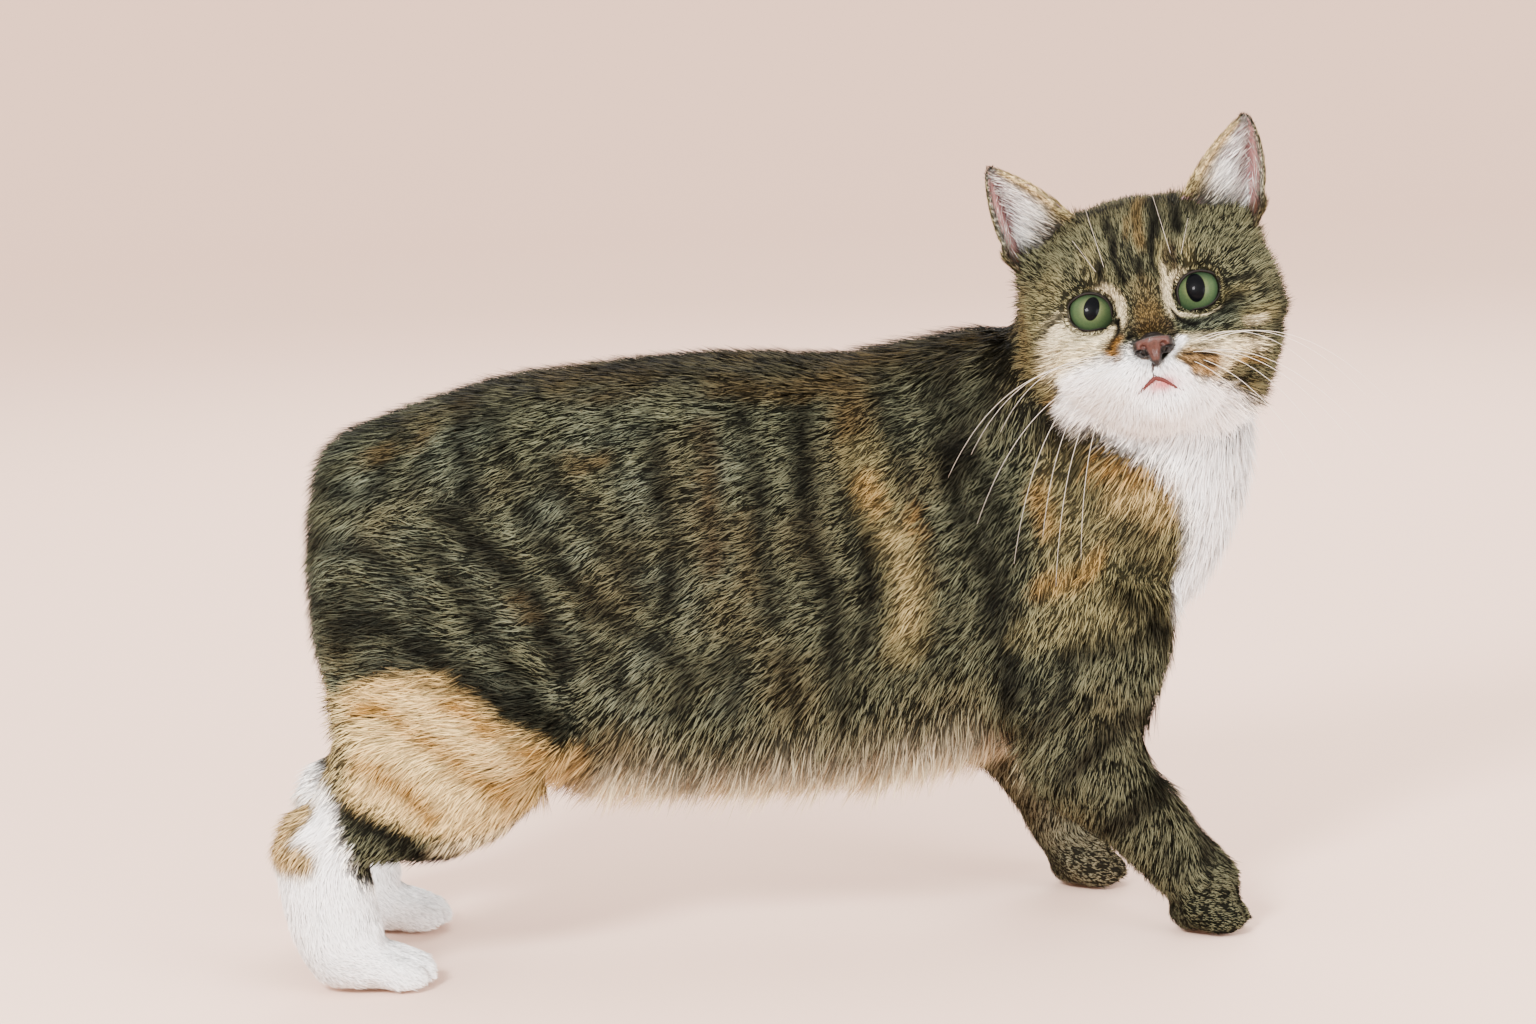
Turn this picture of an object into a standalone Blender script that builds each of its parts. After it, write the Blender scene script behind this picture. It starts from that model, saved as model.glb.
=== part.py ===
# Manx cat, a still life-size model, standing with the head turned to its right.
# Metres. +X is the way the body faces, +Y is the cat's left and +Z is up.
# The solids follow the outside of the coat. The origin is under the middle of the whole figure, at the floor.

import math

import bmesh
import bpy
import numpy as np
from mathutils import Euler, Matrix, Vector
from mathutils.bvhtree import BVHTree

# Driving sizes of the cat
GAP = 0.0003
EYE_SPACING = 0.0432
EYEBALL_RADIUS = 0.0108
EYE_OPENING_HALF_WIDTH = 0.0089
EYE_OPENING_HALF_HEIGHT = 0.0080
LID_THICKNESS = 0.0015
HEAD_HALF_WIDTH = 0.055
NOSE_WIDTH = 0.0155
WHISKER_RADIUS = 0.00036

# Where the head is held: the point midway between the eyes, and its turn, lift and tilt in degrees
EYE_MIDPOINT = Vector((0.1477, -0.060, 0.2608))
HEAD_TURN, HEAD_LIFT, HEAD_TILT = -103.0, 15.0, 10.0

# Fineness of the merged surfaces
BODY_VOXEL, HEAD_VOXEL, PAW_VOXEL = 0.0026, 0.0015, 0.0013
BODY_TRIANGLES, HEAD_TRIANGLES, PAW_TRIANGLES = 3600, 2300, 380

COATS = {
    "tabby": (0.135, 0.115, 0.075, 1.0),
    "ginger": (0.55, 0.33, 0.14, 1.0),
    "white": (0.80, 0.80, 0.78, 1.0),
    "ear": (0.42, 0.30, 0.26, 1.0),
    "iris": (0.13, 0.22, 0.08, 1.0),
    "nose": (0.42, 0.17, 0.14, 1.0),
}


def clear_scene():
    for thing in list(bpy.data.objects):
        bpy.data.objects.remove(thing)


def coat_material(kind, roughness=0.8):
    name = kind + "_surface"
    if name not in bpy.data.materials:
        made = bpy.data.materials.new(name)
        made.use_nodes = True
        shader = made.node_tree.nodes["Principled BSDF"]
        shader.inputs["Base Color"].default_value = COATS[kind]
        shader.inputs["Roughness"].default_value = roughness
        shader.inputs["Metallic"].default_value = 0.0
    return bpy.data.materials[name]


def new_object(name, mesh, collection):
    made = bpy.data.objects.new(name, mesh)
    collection.objects.link(made)
    return made


def mesh_of(bm):
    mesh = bpy.data.meshes.new("shape")
    bm.to_mesh(mesh)
    bm.free()
    return mesh


# Primitive shapes that the blanks are merged from

def ellipsoid(centre, radii, turn=(0, 0, 0), segments=28):
    """A closed ellipsoid; turn is in degrees about X, Y and Z."""
    bm = bmesh.new()
    bmesh.ops.create_uvsphere(bm, u_segments=segments, v_segments=segments // 2, radius=1.0)
    place = (
        Matrix.Translation(centre)
        @ Euler([math.radians(a) for a in turn]).to_matrix().to_4x4()
        @ Matrix.Diagonal((*radii, 1.0))
    )
    bmesh.ops.transform(bm, matrix=place, verts=bm.verts)
    return mesh_of(bm)


def block(low, high):
    bm = bmesh.new()
    bmesh.ops.create_cube(bm, size=1.0)
    size = Vector(high) - Vector(low)
    place = Matrix.Translation((Vector(low) + Vector(high)) / 2) @ Matrix.Diagonal((*size, 1.0))
    bmesh.ops.transform(bm, matrix=place, verts=bm.verts)
    return mesh_of(bm)


def half_space(point, normal, size=0.5):
    """A big box that fills the side of the plane that the normal points to."""
    bm = bmesh.new()
    bmesh.ops.create_cube(bm, size=size)
    turn = Vector(normal).to_track_quat("Z", "Y").to_matrix().to_4x4()
    place = Matrix.Translation(point) @ turn @ Matrix.Translation((0, 0, size / 2))
    bmesh.ops.transform(bm, matrix=place, verts=bm.verts)
    return mesh_of(bm)


def smooth_between(rows, steps):
    """Rows of numbers joined by a Catmull-Rom curve, with this many steps from one row to the next."""
    rows = np.array(rows, float)
    padded = np.vstack([2 * rows[0] - rows[1], rows, 2 * rows[-1] - rows[-2]])
    out = []
    for a, b, c, d in zip(padded, padded[1:], padded[2:], padded[3:]):
        for t in np.arange(steps) / steps:
            out.append(
                0.5 * (2 * b + (c - a) * t + (2 * a - 5 * b + 4 * c - d) * t**2 + (3 * b - a - 3 * c + d) * t**3)
            )
    out.append(rows[-1])
    return np.array(out)


def loft(stations, sides=26, steps=4):
    """A tube through stations of (x, y, z, half depth, half width). The width lies along Y."""
    rows = smooth_between(stations, steps)
    centres = rows[:, :3]
    tangents = np.gradient(centres, axis=0)
    bm = bmesh.new()
    rings = []
    for centre, tangent, row in zip(centres, tangents, rows):
        along = Vector(tangent).normalized()
        side = (Vector((0, 1, 0)) - along * along.y).normalized()
        depth = side.cross(along)
        ring = []
        for i in range(sides):
            angle = 2 * math.pi * i / sides
            point = Vector(centre) + depth * (math.cos(angle) * row[3]) + side * (math.sin(angle) * row[4])
            ring.append(bm.verts.new(point))
        rings.append(ring)
    for low, high in zip(rings, rings[1:]):
        for i in range(sides):
            j = (i + 1) % sides
            bm.faces.new((low[i], low[j], high[j], high[i]))
    bm.faces.new(rings[0])
    bm.faces.new(rings[-1])
    bmesh.ops.recalc_face_normals(bm, faces=bm.faces)
    return mesh_of(bm)


def torso_loft(stations, sides=36, steps=4):
    """The trunk, from stations of (x, lowest z, highest z, half width, height share of the widest line)."""
    rows = smooth_between(stations, steps)
    bm = bmesh.new()
    rings = []
    for x, low, high, half, widest in rows:
        middle = low + (high - low) * widest
        ring = []
        for i in range(sides):
            angle = 2 * math.pi * i / sides
            rise = math.sin(angle)
            reach = (high - middle) if rise > 0 else (middle - low)
            flat = math.copysign(abs(math.cos(angle)) ** 0.86, math.cos(angle))
            ring.append(bm.verts.new((x, half * flat, middle + reach * rise)))
        rings.append(ring)
    for low_ring, high_ring in zip(rings, rings[1:]):
        for i in range(sides):
            j = (i + 1) % sides
            bm.faces.new((low_ring[i], low_ring[j], high_ring[j], high_ring[i]))
    bm.faces.new(rings[0])
    bm.faces.new(rings[-1])
    bmesh.ops.recalc_face_normals(bm, faces=bm.faces)
    return mesh_of(bm)


# Merging and cutting

def applied(thing):
    """The object with its modifiers applied."""
    graph = bpy.context.evaluated_depsgraph_get()
    mesh = bpy.data.meshes.new_from_object(thing.evaluated_get(graph))
    thing.modifiers.clear()
    thing.data = mesh
    return thing


def largest_body(thing):
    """Keeps only the largest closed surface of a mesh."""
    bm = bmesh.new()
    bm.from_mesh(thing.data)
    bm.verts.ensure_lookup_table()
    unseen = set(bm.verts)
    groups = []
    while unseen:
        stack = [unseen.pop()]
        group = set(stack)
        while stack:
            for edge in stack.pop().link_edges:
                for vertex in edge.verts:
                    if vertex in unseen:
                        unseen.remove(vertex)
                        group.add(vertex)
                        stack.append(vertex)
        groups.append(group)
    if len(groups) > 1:
        def reach(group):
            points = np.array([v.co for v in group])
            return np.linalg.norm(points.max(0) - points.min(0))

        keep = max(groups, key=reach)
        bmesh.ops.delete(bm, geom=[v for v in bm.verts if v not in keep], context="VERTS")
    bm.to_mesh(thing.data)
    bm.free()
    return thing


def join_meshes(name, meshes, collection):
    bm = bmesh.new()
    for mesh in meshes:
        bm.from_mesh(mesh)
    return new_object(name, mesh_of(bm), collection)


def merge(name, meshes, collection, voxel, smoothing, triangles):
    """Closed shapes that overlap, merged into one soft surface of about this many triangles."""
    made = join_meshes(name, meshes, collection)
    remesh = made.modifiers.new("Merge", "REMESH")
    remesh.mode = "VOXEL"
    remesh.voxel_size = voxel
    remesh.adaptivity = 0.0
    smooth = made.modifiers.new("Soften", "SMOOTH")
    smooth.factor = 0.5
    smooth.iterations = smoothing
    triangulate = made.modifiers.new("Triangles", "TRIANGULATE")
    triangulate.quad_method = "FIXED"
    largest_body(applied(made))
    decimate = made.modifiers.new("Fewer", "DECIMATE")
    decimate.ratio = min(1.0, triangles / max(1, len(made.data.polygons)))
    decimate.use_collapse_triangulate = True
    return largest_body(applied(made))


def boolean(thing, cutter, operation):
    modifier = thing.modifiers.new(operation.title(), "BOOLEAN")
    modifier.operation = operation
    modifier.solver = "EXACT"
    modifier.object = cutter
    return largest_body(applied(thing))


def copy_of(thing, name, collection):
    return new_object(name, thing.data.copy(), collection)


def cut(thing, meshes, collection, operation="DIFFERENCE"):
    """Cuts each of these closed shapes from the object, or keeps only what lies in it."""
    for mesh in meshes:
        cutter = new_object("cutter", mesh, collection)
        boolean(thing, cutter, operation)
        bpy.data.objects.remove(cutter)
    return thing


def grown(thing, by=GAP):
    """A copy of a piece's mesh with its surface moved out."""
    bm = bmesh.new()
    bm.from_mesh(thing.data)
    bm.normal_update()
    moves = [(v, v.normal.copy()) for v in bm.verts]
    for vertex, normal in moves:
        vertex.co += normal * by
    return mesh_of(bm)


def split(thing, other_name, point, normal, collection):
    """Cuts a piece by a plane; the side that the normal points to becomes a new piece with this name."""
    normal = Vector(normal).normalized()
    point = Vector(point)
    other = copy_of(thing, other_name, collection)
    cut(thing, [half_space(point - normal * GAP / 2, normal)], collection)
    cut(other, [half_space(point + normal * GAP / 2, normal)], collection, "INTERSECT")
    return other


# The trunk and neck

TORSO_STATIONS = (
    (-0.1895, 0.140, 0.172, 0.014, 0.50),
    (-0.1860, 0.122, 0.196, 0.034, 0.50),
    (-0.1760, 0.104, 0.218, 0.048, 0.48),
    (-0.1480, 0.092, 0.2290, 0.057, 0.46),
    (-0.1070, 0.078, 0.2400, 0.061, 0.44),
    (-0.0600, 0.067, 0.2445, 0.064, 0.42),
    (-0.0150, 0.064, 0.2460, 0.066, 0.42),
    (0.0250, 0.066, 0.2430, 0.065, 0.43),
    (0.0600, 0.070, 0.2415, 0.060, 0.44),
    (0.0950, 0.076, 0.2350, 0.056, 0.46),
    (0.1250, 0.084, 0.2240, 0.052, 0.50),
    (0.1520, 0.098, 0.2050, 0.043, 0.52),
    (0.1700, 0.122, 0.1850, 0.028, 0.52),
)
THROAT_STATIONS = (
    (0.095, 0.000, 0.155, 0.060, 0.050),
    (0.130, 0.000, 0.165, 0.058, 0.051),
    (0.148, -0.004, 0.186, 0.053, 0.049),
    (0.1535, -0.011, 0.208, 0.049, 0.048),
    (0.1530, -0.019, 0.235, 0.042, 0.043),
)
CREST_STATIONS = (
    (0.035, 0.000, 0.200, 0.042, 0.042),
    (0.070, -0.001, 0.207, 0.040, 0.042),
    (0.100, -0.004, 0.213, 0.038, 0.042),
    (0.130, -0.010, 0.219, 0.036, 0.040),
    (0.150, -0.016, 0.226, 0.036, 0.040),
)


def mirrored(point, side):
    return Vector((point[0], point[1] * side, point[2]))


# Leg joints, written for a leg on the left and mirrored by the side

FORELEGS = {
    "right": dict(side=-1, shoulder=(0.136, 0.036, 0.152), elbow=(0.112, 0.047, 0.087), wrist=(0.1590, 0.050, 0.029), toe=0.186),
    "left": dict(side=1, shoulder=(0.130, 0.036, 0.152), elbow=(0.104, 0.046, 0.084), wrist=(0.1270, 0.045, 0.029), toe=0.154),
}
HINDLEGS = {
    "right": dict(side=-1, hip=(-0.136, 0.028, 0.172), knee=(-0.104, 0.048, 0.094), hock=(-0.1890, 0.050, 0.061), toe=-0.146),
    "left": dict(side=1, hip=(-0.134, 0.028, 0.172), knee=(-0.099, 0.046, 0.096), hock=(-0.1800, 0.048, 0.061), toe=-0.137),
}


def foreleg_shapes(leg):
    side = leg["side"]
    shoulder, elbow, wrist = (mirrored(leg[k], side) for k in ("shoulder", "elbow", "wrist"))
    middle = (shoulder + elbow) / 2
    upper = (
        (*shoulder, 0.034, 0.021),
        (*middle, 0.037, 0.023),
        (*elbow, 0.029, 0.0205),
    )
    below = elbow.lerp(wrist, 0.45)
    lower = (
        (*(elbow + Vector((0.004, 0, 0.016))), 0.026, 0.020),
        (*elbow.lerp(wrist, 0.16), 0.0265, 0.021),
        (*below, 0.0215, 0.0185),
        (*elbow.lerp(wrist, 0.8), 0.0175, 0.0165),
        (*wrist, 0.0160, 0.0165),
        (*(wrist + (wrist - elbow).normalized() * 0.010), 0.0130, 0.0160),
    )
    return [loft(upper), loft(lower)]


def hindleg_shapes(leg):
    side = leg["side"]
    hip, knee, hock = (mirrored(leg[k], side) for k in ("hip", "knee", "hock"))
    middle = hip.lerp(knee, 0.52) + Vector((-0.012, side * 0.002, 0))
    thigh = (
        (*(hip + Vector((0.002, 0, 0.014))), 0.036, 0.024),
        (*hip, 0.046, 0.031),
        (*middle, 0.052, 0.0285),
        (*(knee + Vector((-0.008, 0, 0.004))), 0.036, 0.0235),
        (*(knee + Vector((-0.001, 0, -0.012))), 0.022, 0.0180),
    )
    shank = (
        (*(knee + Vector((-0.004, 0, 0.004))), 0.024, 0.0210),
        (*knee.lerp(hock, 0.35), 0.0300, 0.0215),
        (*knee.lerp(hock, 0.70), 0.0250, 0.0190),
        (*hock, 0.0185, 0.0165),
    )
    # the calf, which fills the angle behind the knee up to the rump
    calf = (
        (*(hip + Vector((-0.024, 0, -0.03))), 0.026, 0.020),
        (*(knee.lerp(hock, 0.62) + Vector((0, 0, 0.030))), 0.026, 0.0200),
        (*knee.lerp(hock, 0.92), 0.0165, 0.0150),
    )
    return [loft(thigh), loft(shank), loft(calf), loft(metatarsus_stations(leg))]


def metatarsus_stations(leg):
    hock = mirrored(leg["hock"], leg["side"])
    return (
        (*(hock + Vector((0.0010, 0, 0.014))), 0.0120, 0.0125),
        (*(hock + Vector((-0.0010, 0, 0.003))), 0.0190, 0.0165),
        (*(hock + Vector((-0.0005, 0, -0.012))), 0.0195, 0.0170),
        (*(hock + Vector((0.0020, 0, -0.030))), 0.0190, 0.0175),
        (*(hock + Vector((0.0070, 0, -0.044))), 0.0185, 0.0185),
        (*(hock + Vector((0.0150, 0, -0.0520))), 0.0120, 0.0190),
    )


def toes(tip_x, y, length, half_width, lead=0.0045):
    """Four toes side by side, the middle two further forward, and the pad behind them."""
    pitch = half_width / 2.0
    shapes = []
    for i, place in enumerate((-1.5, -0.5, 0.5, 1.5)):
        forward = 0.0 if i in (1, 2) else -lead
        centre = (tip_x + forward - 0.0105, y + place * pitch, 0.0068)
        shapes.append(ellipsoid(centre, (0.0110, pitch * 0.60, 0.0078), (0, 8, -3 * place)))
        knuckle = (tip_x + forward - 0.0185, y + place * pitch * 0.92, 0.0105)
        shapes.append(ellipsoid(knuckle, (0.0110, pitch * 0.66, 0.0082), (0, 20, 0)))
    shapes.append(ellipsoid((tip_x - length * 0.58, y, 0.0075), (length * 0.40, half_width * 0.88, 0.0088)))
    return shapes


def forepaw_shapes(leg):
    side = leg["side"]
    elbow, wrist = mirrored(leg["elbow"], side), mirrored(leg["wrist"], side)
    down = (wrist - elbow).normalized()
    y = wrist.y
    arm = (
        (*(wrist - down * 0.024), 0.0178, 0.0168),
        (*(wrist - down * 0.010), 0.0164, 0.0165),
        (*wrist, 0.0160, 0.0165),
        (*(wrist + down * 0.012), 0.0150, 0.0168),
        (*(Vector((wrist.x + 0.0085, y, 0.0100))), 0.0120, 0.0165),
    )
    return [loft(arm)] + toes(leg["toe"], y, 0.036, 0.0185)


def hindfoot_shapes(leg):
    hock = mirrored(leg["hock"], leg["side"])
    sole = ellipsoid((hock.x + 0.0150, hock.y, 0.0080), (0.0240, 0.0160, 0.0095))
    return [loft(metatarsus_stations(leg)), sole] + toes(leg["toe"], hock.y, 0.034, 0.0185)


def leg_cell(regions, low, high, side, collection, grow=0.0):
    """The space that belongs to one leg: rounded regions at its root and a box below them."""
    cell = new_object("cell", block([v - grow for v in low], [v + grow for v in high]), collection)
    for centre, radii in regions:
        region = ellipsoid(mirrored(centre, side), tuple(r + grow for r in radii), segments=20)
        other = new_object("region", region, collection)
        boolean(cell, other, "UNION")
        bpy.data.objects.remove(other)
    mesh = cell.data.copy()
    bpy.data.objects.remove(cell)
    return mesh


def leg_space(regions, front, back, top, side, collection, grow=0.0):
    """The rounded regions of a leg, and below the given height all of that side of the cat."""
    low, high = sorted((0.014 * side, 0.100 * side))
    return leg_cell(regions, (back, low, -0.010), (front, high, top), side, collection, grow)


def build_body(nodes, tools):
    """The trunk, neck and legs as one merged form, then parted by thin cuts."""
    shapes = [torso_loft(TORSO_STATIONS), loft(THROAT_STATIONS), loft(CREST_STATIONS)]
    for leg in FORELEGS.values():
        shapes += foreleg_shapes(leg)
    for leg in HINDLEGS.values():
        shapes += hindleg_shapes(leg)
    body = merge("chest", shapes, nodes, BODY_VOXEL, 12, BODY_TRIANGLES)

    for name, leg in FORELEGS.items():
        elbow, wrist = mirrored(leg["elbow"], leg["side"]), mirrored(leg["wrist"], leg["side"])
        regions = (
            ((elbow.x + 0.004, 0.062, 0.090), (0.036, 0.036, 0.034)),
            ((leg["shoulder"][0] - 0.008, 0.076, 0.130), (0.042, 0.046, 0.050)),
        )
        space = (regions, elbow.x + 0.090, elbow.x - 0.040, 0.065, leg["side"], tools)
        arm = copy_of(body, "upper_arm_" + name, nodes)
        cut(arm, [leg_space(*space)], tools, "INTERSECT")
        cut(body, [leg_space(*space, GAP)], tools)
        down = (wrist - elbow).normalized()
        forearm = split(arm, "forearm_" + name, elbow + down * 0.006, down, nodes)
        cut(forearm, [half_space(wrist - down * GAP / 2, down)], tools)

    for name, leg in HINDLEGS.items():
        knee, hock = mirrored(leg["knee"], leg["side"]), mirrored(leg["hock"], leg["side"])
        regions = (
            ((knee.x - 0.012, 0.062, 0.094), (0.042, 0.038, 0.036)),
            ((hock.x + 0.020, 0.060, 0.092), (0.050, 0.038, 0.040)),
            ((leg["hip"][0], 0.076, 0.140), (0.062, 0.050, 0.066)),
        )
        space = (regions, knee.x + 0.018, hock.x - 0.050, 0.066, leg["side"], tools)
        thigh = copy_of(body, "thigh_" + name, nodes)
        cut(thigh, [leg_space(*space)], tools, "INTERSECT")
        cut(body, [leg_space(*space, GAP)], tools)
        shank = split(thigh, "shank_" + name, knee + Vector((-0.030, 0, -0.002)), (-0.36, 0, -0.93), nodes)
        point, normal = hock_plane(hock)
        cut(shank, [half_space(point - normal * GAP / 2, normal)], tools)

    split(body, "neck", (0.055, 0, 0.240), (0.62, 0, 0.785), nodes)
    split(body, "abdomen", (0.030, 0, 0.150), (-1, 0, 0.05), nodes)
    split(bpy.data.objects["abdomen"], "rump", (-0.085, 0, 0.150), (-1, 0, 0.10), nodes)


def hock_plane(hock):
    """A point and the downward normal of the cut across the hock."""
    return hock + Vector((0, 0, -0.004)), Vector((-0.15, 0, -0.99)).normalized()


def build_paws(nodes, tools):
    ground = block((-0.5, -0.5, -0.1), (0.5, 0.5, 0.0))
    for name, leg in FORELEGS.items():
        elbow, wrist = mirrored(leg["elbow"], leg["side"]), mirrored(leg["wrist"], leg["side"])
        down = (wrist - elbow).normalized()
        paw = merge("forepaw_" + name, forepaw_shapes(leg), nodes, PAW_VOXEL, 5, PAW_TRIANGLES)
        cut(paw, [half_space(wrist + down * GAP / 2, down)], tools, "INTERSECT")
        cut(paw, [ground.copy()], tools)
    for name, leg in HINDLEGS.items():
        point, normal = hock_plane(mirrored(leg["hock"], leg["side"]))
        foot = merge("hind_foot_" + name, hindfoot_shapes(leg), nodes, PAW_VOXEL, 5, PAW_TRIANGLES + 120)
        cut(foot, [half_space(point + normal * GAP / 2, normal)], tools, "INTERSECT")
        cut(foot, [ground.copy()], tools)


# The head, in its own frame: +X out of the face, +Y to the cat's left, +Z up, from midway between the eyes

def head_shapes():
    w = HEAD_HALF_WIDTH
    shapes = [
        ellipsoid((-0.041, 0, 0.006), (0.044, 0.0485, 0.0435)),
        ellipsoid((-0.027, 0, 0.009), (0.0270, 0.0410, 0.0320)),
        ellipsoid((-0.032, 0, -0.020), (0.036, 0.0490, 0.0310)),
        ellipsoid((-0.012, 0, -0.021), (0.026, 0.0360, 0.0250)),
        ellipsoid((-0.002, 0, -0.035), (0.0240, 0.0230, 0.0150)),
        ellipsoid((0.0120, 0, -0.0410), (0.0125, 0.0125, 0.0090)),
        loft(((-0.020, 0, 0.020, 0.014, 0.024), (-0.008, 0, 0.007, 0.0135, 0.0150),
              (0.0050, 0, -0.0065, 0.0125, 0.0115), (0.0195, 0, -0.0200, 0.0095, 0.0095))),
    ]
    for side in (-1, 1):
        shapes += [
            ellipsoid((-0.027, side * (w - 0.0285), -0.012), (0.030, 0.0285, 0.0330), (0, 0, side * 12)),
            ellipsoid((0.0100, side * 0.0098, -0.0290), (0.0170, 0.0155, 0.0125), (0, 0, side * -12)),
            ellipsoid((-0.0020, side * 0.0200, -0.0230), (0.0200, 0.0170, 0.0165), (0, 0, side * 25)),
            ellipsoid((-0.0150, side * 0.0210, 0.0120), (0.0160, 0.0190, 0.0120), (0, 0, side * 14)),
            ellipsoid((-0.042, side * 0.0270, 0.0190), (0.024, 0.0210, 0.0200)),
        ]
    return shapes


def eye_centre(side):
    return Vector((-0.0108, side * EYE_SPACING / 2, 0.0))


def eye_turn(side):
    """The eye looks a little outwards; the lid opening slants up at its outer end."""
    return Matrix.Rotation(math.radians(side * 4), 4, "Z") @ Matrix.Rotation(math.radians(side * 9), 4, "X")


def eye_lid_shell(side):
    return ellipsoid(eye_centre(side), (EYEBALL_RADIUS + LID_THICKNESS,) * 3, segments=32)


def eye_hollow(side):
    """The shallow hollow around the eye, between brow, cheek and the side of the nose."""
    return ellipsoid((0.0120, side * EYE_SPACING * 0.52, 0.0), (0.0150, 0.0150, 0.0140), (0, 0, side * 20))


def eye_opening(side):
    """The almond that is cut from the lids, a tapered elliptic plug along the eye's axis."""
    bm = bmesh.new()
    bmesh.ops.create_cone(
        bm, cap_ends=True, segments=28, radius1=0.86, radius2=1.12, depth=1.0,
        matrix=Matrix.Translation((0, 0, 0.5)),
    )
    reach = 0.016
    place = (
        Matrix.Translation(eye_centre(side))
        @ eye_turn(side)
        @ Matrix.Rotation(math.radians(90), 4, "Y")
        @ Matrix.Translation((0, 0, 0.004))
        @ Matrix.Diagonal((EYE_OPENING_HALF_HEIGHT, EYE_OPENING_HALF_WIDTH, reach, 1.0))
    )
    bmesh.ops.transform(bm, matrix=place, verts=bm.verts)
    return mesh_of(bm)


def nose_shapes():
    half = NOSE_WIDTH / 2
    shapes = [
        ellipsoid((0.0245, 0, -0.0210), (0.0060, half * 0.80, 0.0052)),
        ellipsoid((0.0250, 0, -0.0265), (0.0040, 0.0026, 0.0050)),
    ]
    for side in (-1, 1):
        shapes.append(ellipsoid((0.0235, side * half * 0.62, -0.0225), (0.0052, half * 0.46, 0.0042)))
    return shapes


def face_point(head, y, z):
    """The point of the face at this width and height, seen from the front."""
    tree = BVHTree.FromPolygons([v.co for v in head.data.vertices], [p.vertices[:] for p in head.data.polygons])
    return tree.ray_cast(Vector((0.10, y, z)), Vector((-1, 0, 0)))[0]


def mouth_grooves(head):
    """The split under the nose and the line of the lips, as thin tubes sunk in the muzzle."""
    split_line = ((0, -0.0270), (0, -0.0310), (0, -0.0350))
    grooves = [[(*face_point(head, y, z), 0.0010, 0.0010) for y, z in split_line]]
    for side in (-1, 1):
        lip_line = ((0.0, -0.0338), (0.0048, -0.0368), (0.0100, -0.0388), (0.0160, -0.0392))
        stations = [(*face_point(head, side * y, z), 0.0013, 0.0013) for y, z in lip_line]
        stations.append((*(Vector(stations[-1][:3]) + Vector((-0.006, side * 0.003, 0.0012))), 0.0009, 0.0009))
        grooves.append(stations)
    return [path_tube(stations) for stations in grooves]


def path_tube(stations, sides=8, steps=3):
    """A round tube through stations of (x, y, z, radius, radius) that may turn any way."""
    rows = smooth_between(stations, steps)
    tangents = np.gradient(rows[:, :3], axis=0)
    bm = bmesh.new()
    rings = []
    for row, tangent in zip(rows, tangents):
        turn = Vector(tangent).to_track_quat("Z", "Y").to_matrix()
        ring = []
        for i in range(sides):
            angle = 2 * math.pi * i / sides
            offset = turn @ Vector((math.cos(angle) * row[3], math.sin(angle) * row[3], 0))
            ring.append(bm.verts.new(Vector(row[:3]) + offset))
        rings.append(ring)
    for low, high in zip(rings, rings[1:]):
        for i in range(sides):
            j = (i + 1) % sides
            bm.faces.new((low[i], low[j], high[j], high[i]))
    bm.faces.new(rings[0])
    bm.faces.new(rings[-1])
    bmesh.ops.recalc_face_normals(bm, faces=bm.faces)
    return mesh_of(bm)


def ear_sheet(side, rows=7, columns=8):
    """The open cup of one ear, as a grid from its root on the skull up to its tip."""
    tip = Vector((-0.030, side * 0.0535, 0.0700))
    inner_root = Vector((-0.026, side * 0.0185, 0.0390))
    outer_root = Vector((-0.034, side * 0.0520, 0.0150))
    back_root = Vector((-0.060, side * 0.0400, 0.0270))
    bm = bmesh.new()
    grid = []
    for r in range(rows):
        up = r / (rows - 1)
        line = []
        for c in range(columns):
            across = c / (columns - 1)
            bulge = math.sin(math.pi * across)
            root = inner_root.lerp(outer_root, across) + (back_root - inner_root.lerp(outer_root, 0.5)) * bulge
            # both edges bow outwards, and the back of the cup closes towards the tip
            edge = Vector((0, side * (across - 0.5) * 0.0100 * math.sin(math.pi * up), 0))
            edge.z = 0.004 * math.sin(math.pi * up) * (1 - across)
            point = root.lerp(tip, up ** 0.92) + edge
            point += Vector((-0.0060 * bulge * math.sin(math.pi * up), 0, 0))
            if r == 0:
                point -= Vector((0, side * 0.004, 0.012))
            line.append(bm.verts.new(point))
        grid.append(line)
    for low, high in zip(grid, grid[1:]):
        for c in range(columns - 1):
            corners = [low[c], low[c + 1], high[c + 1], high[c]]
            if side > 0:
                corners.reverse()
            bm.faces.new(corners)
    bmesh.ops.remove_doubles(bm, verts=bm.verts, dist=0.0002)
    return mesh_of(bm)


def build_ear(side, name, head, nodes, tools):
    ear = new_object(name, ear_sheet(side), nodes)
    wall = ear.modifiers.new("Wall", "SOLIDIFY")
    wall.thickness = 0.0026
    wall.offset = 0.0
    applied(ear)
    cut(ear, [grown(head)], tools)
    return ear


def whisker_shapes():
    """White whiskers in three rows on both pads, as thin tapered spines rooted in the head."""
    shapes = []
    for side in (-1, 1):
        for row in range(3):
            for i in range(3 if row < 2 else 2):
                root = Vector((0.0150 - 0.0060 * i - 0.002 * row, side * (0.0180 + 0.0022 * i), -0.0250 - 0.0034 * row))
                length = 0.070 - 0.007 * row + 0.004 * i
                swing = math.radians(58 + 14 * i)
                climb = math.radians(4 - 16 * row)
                aim = Vector((math.cos(swing) * math.cos(climb), side * math.sin(swing) * math.cos(climb), math.sin(climb)))
                stations = []
                for t in (-0.12, 0.08, 0.40, 0.72, 1.0):
                    fall = Vector((-0.012, -side * 0.006, -0.030)) * max(t, 0) ** 2
                    thick = WHISKER_RADIUS * (1.0 - 0.62 * max(t, 0))
                    stations.append((*(root + aim * (length * t) + fall), thick, thick))
                shapes.append(path_tube(stations, sides=3, steps=1))
    return shapes


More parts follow.
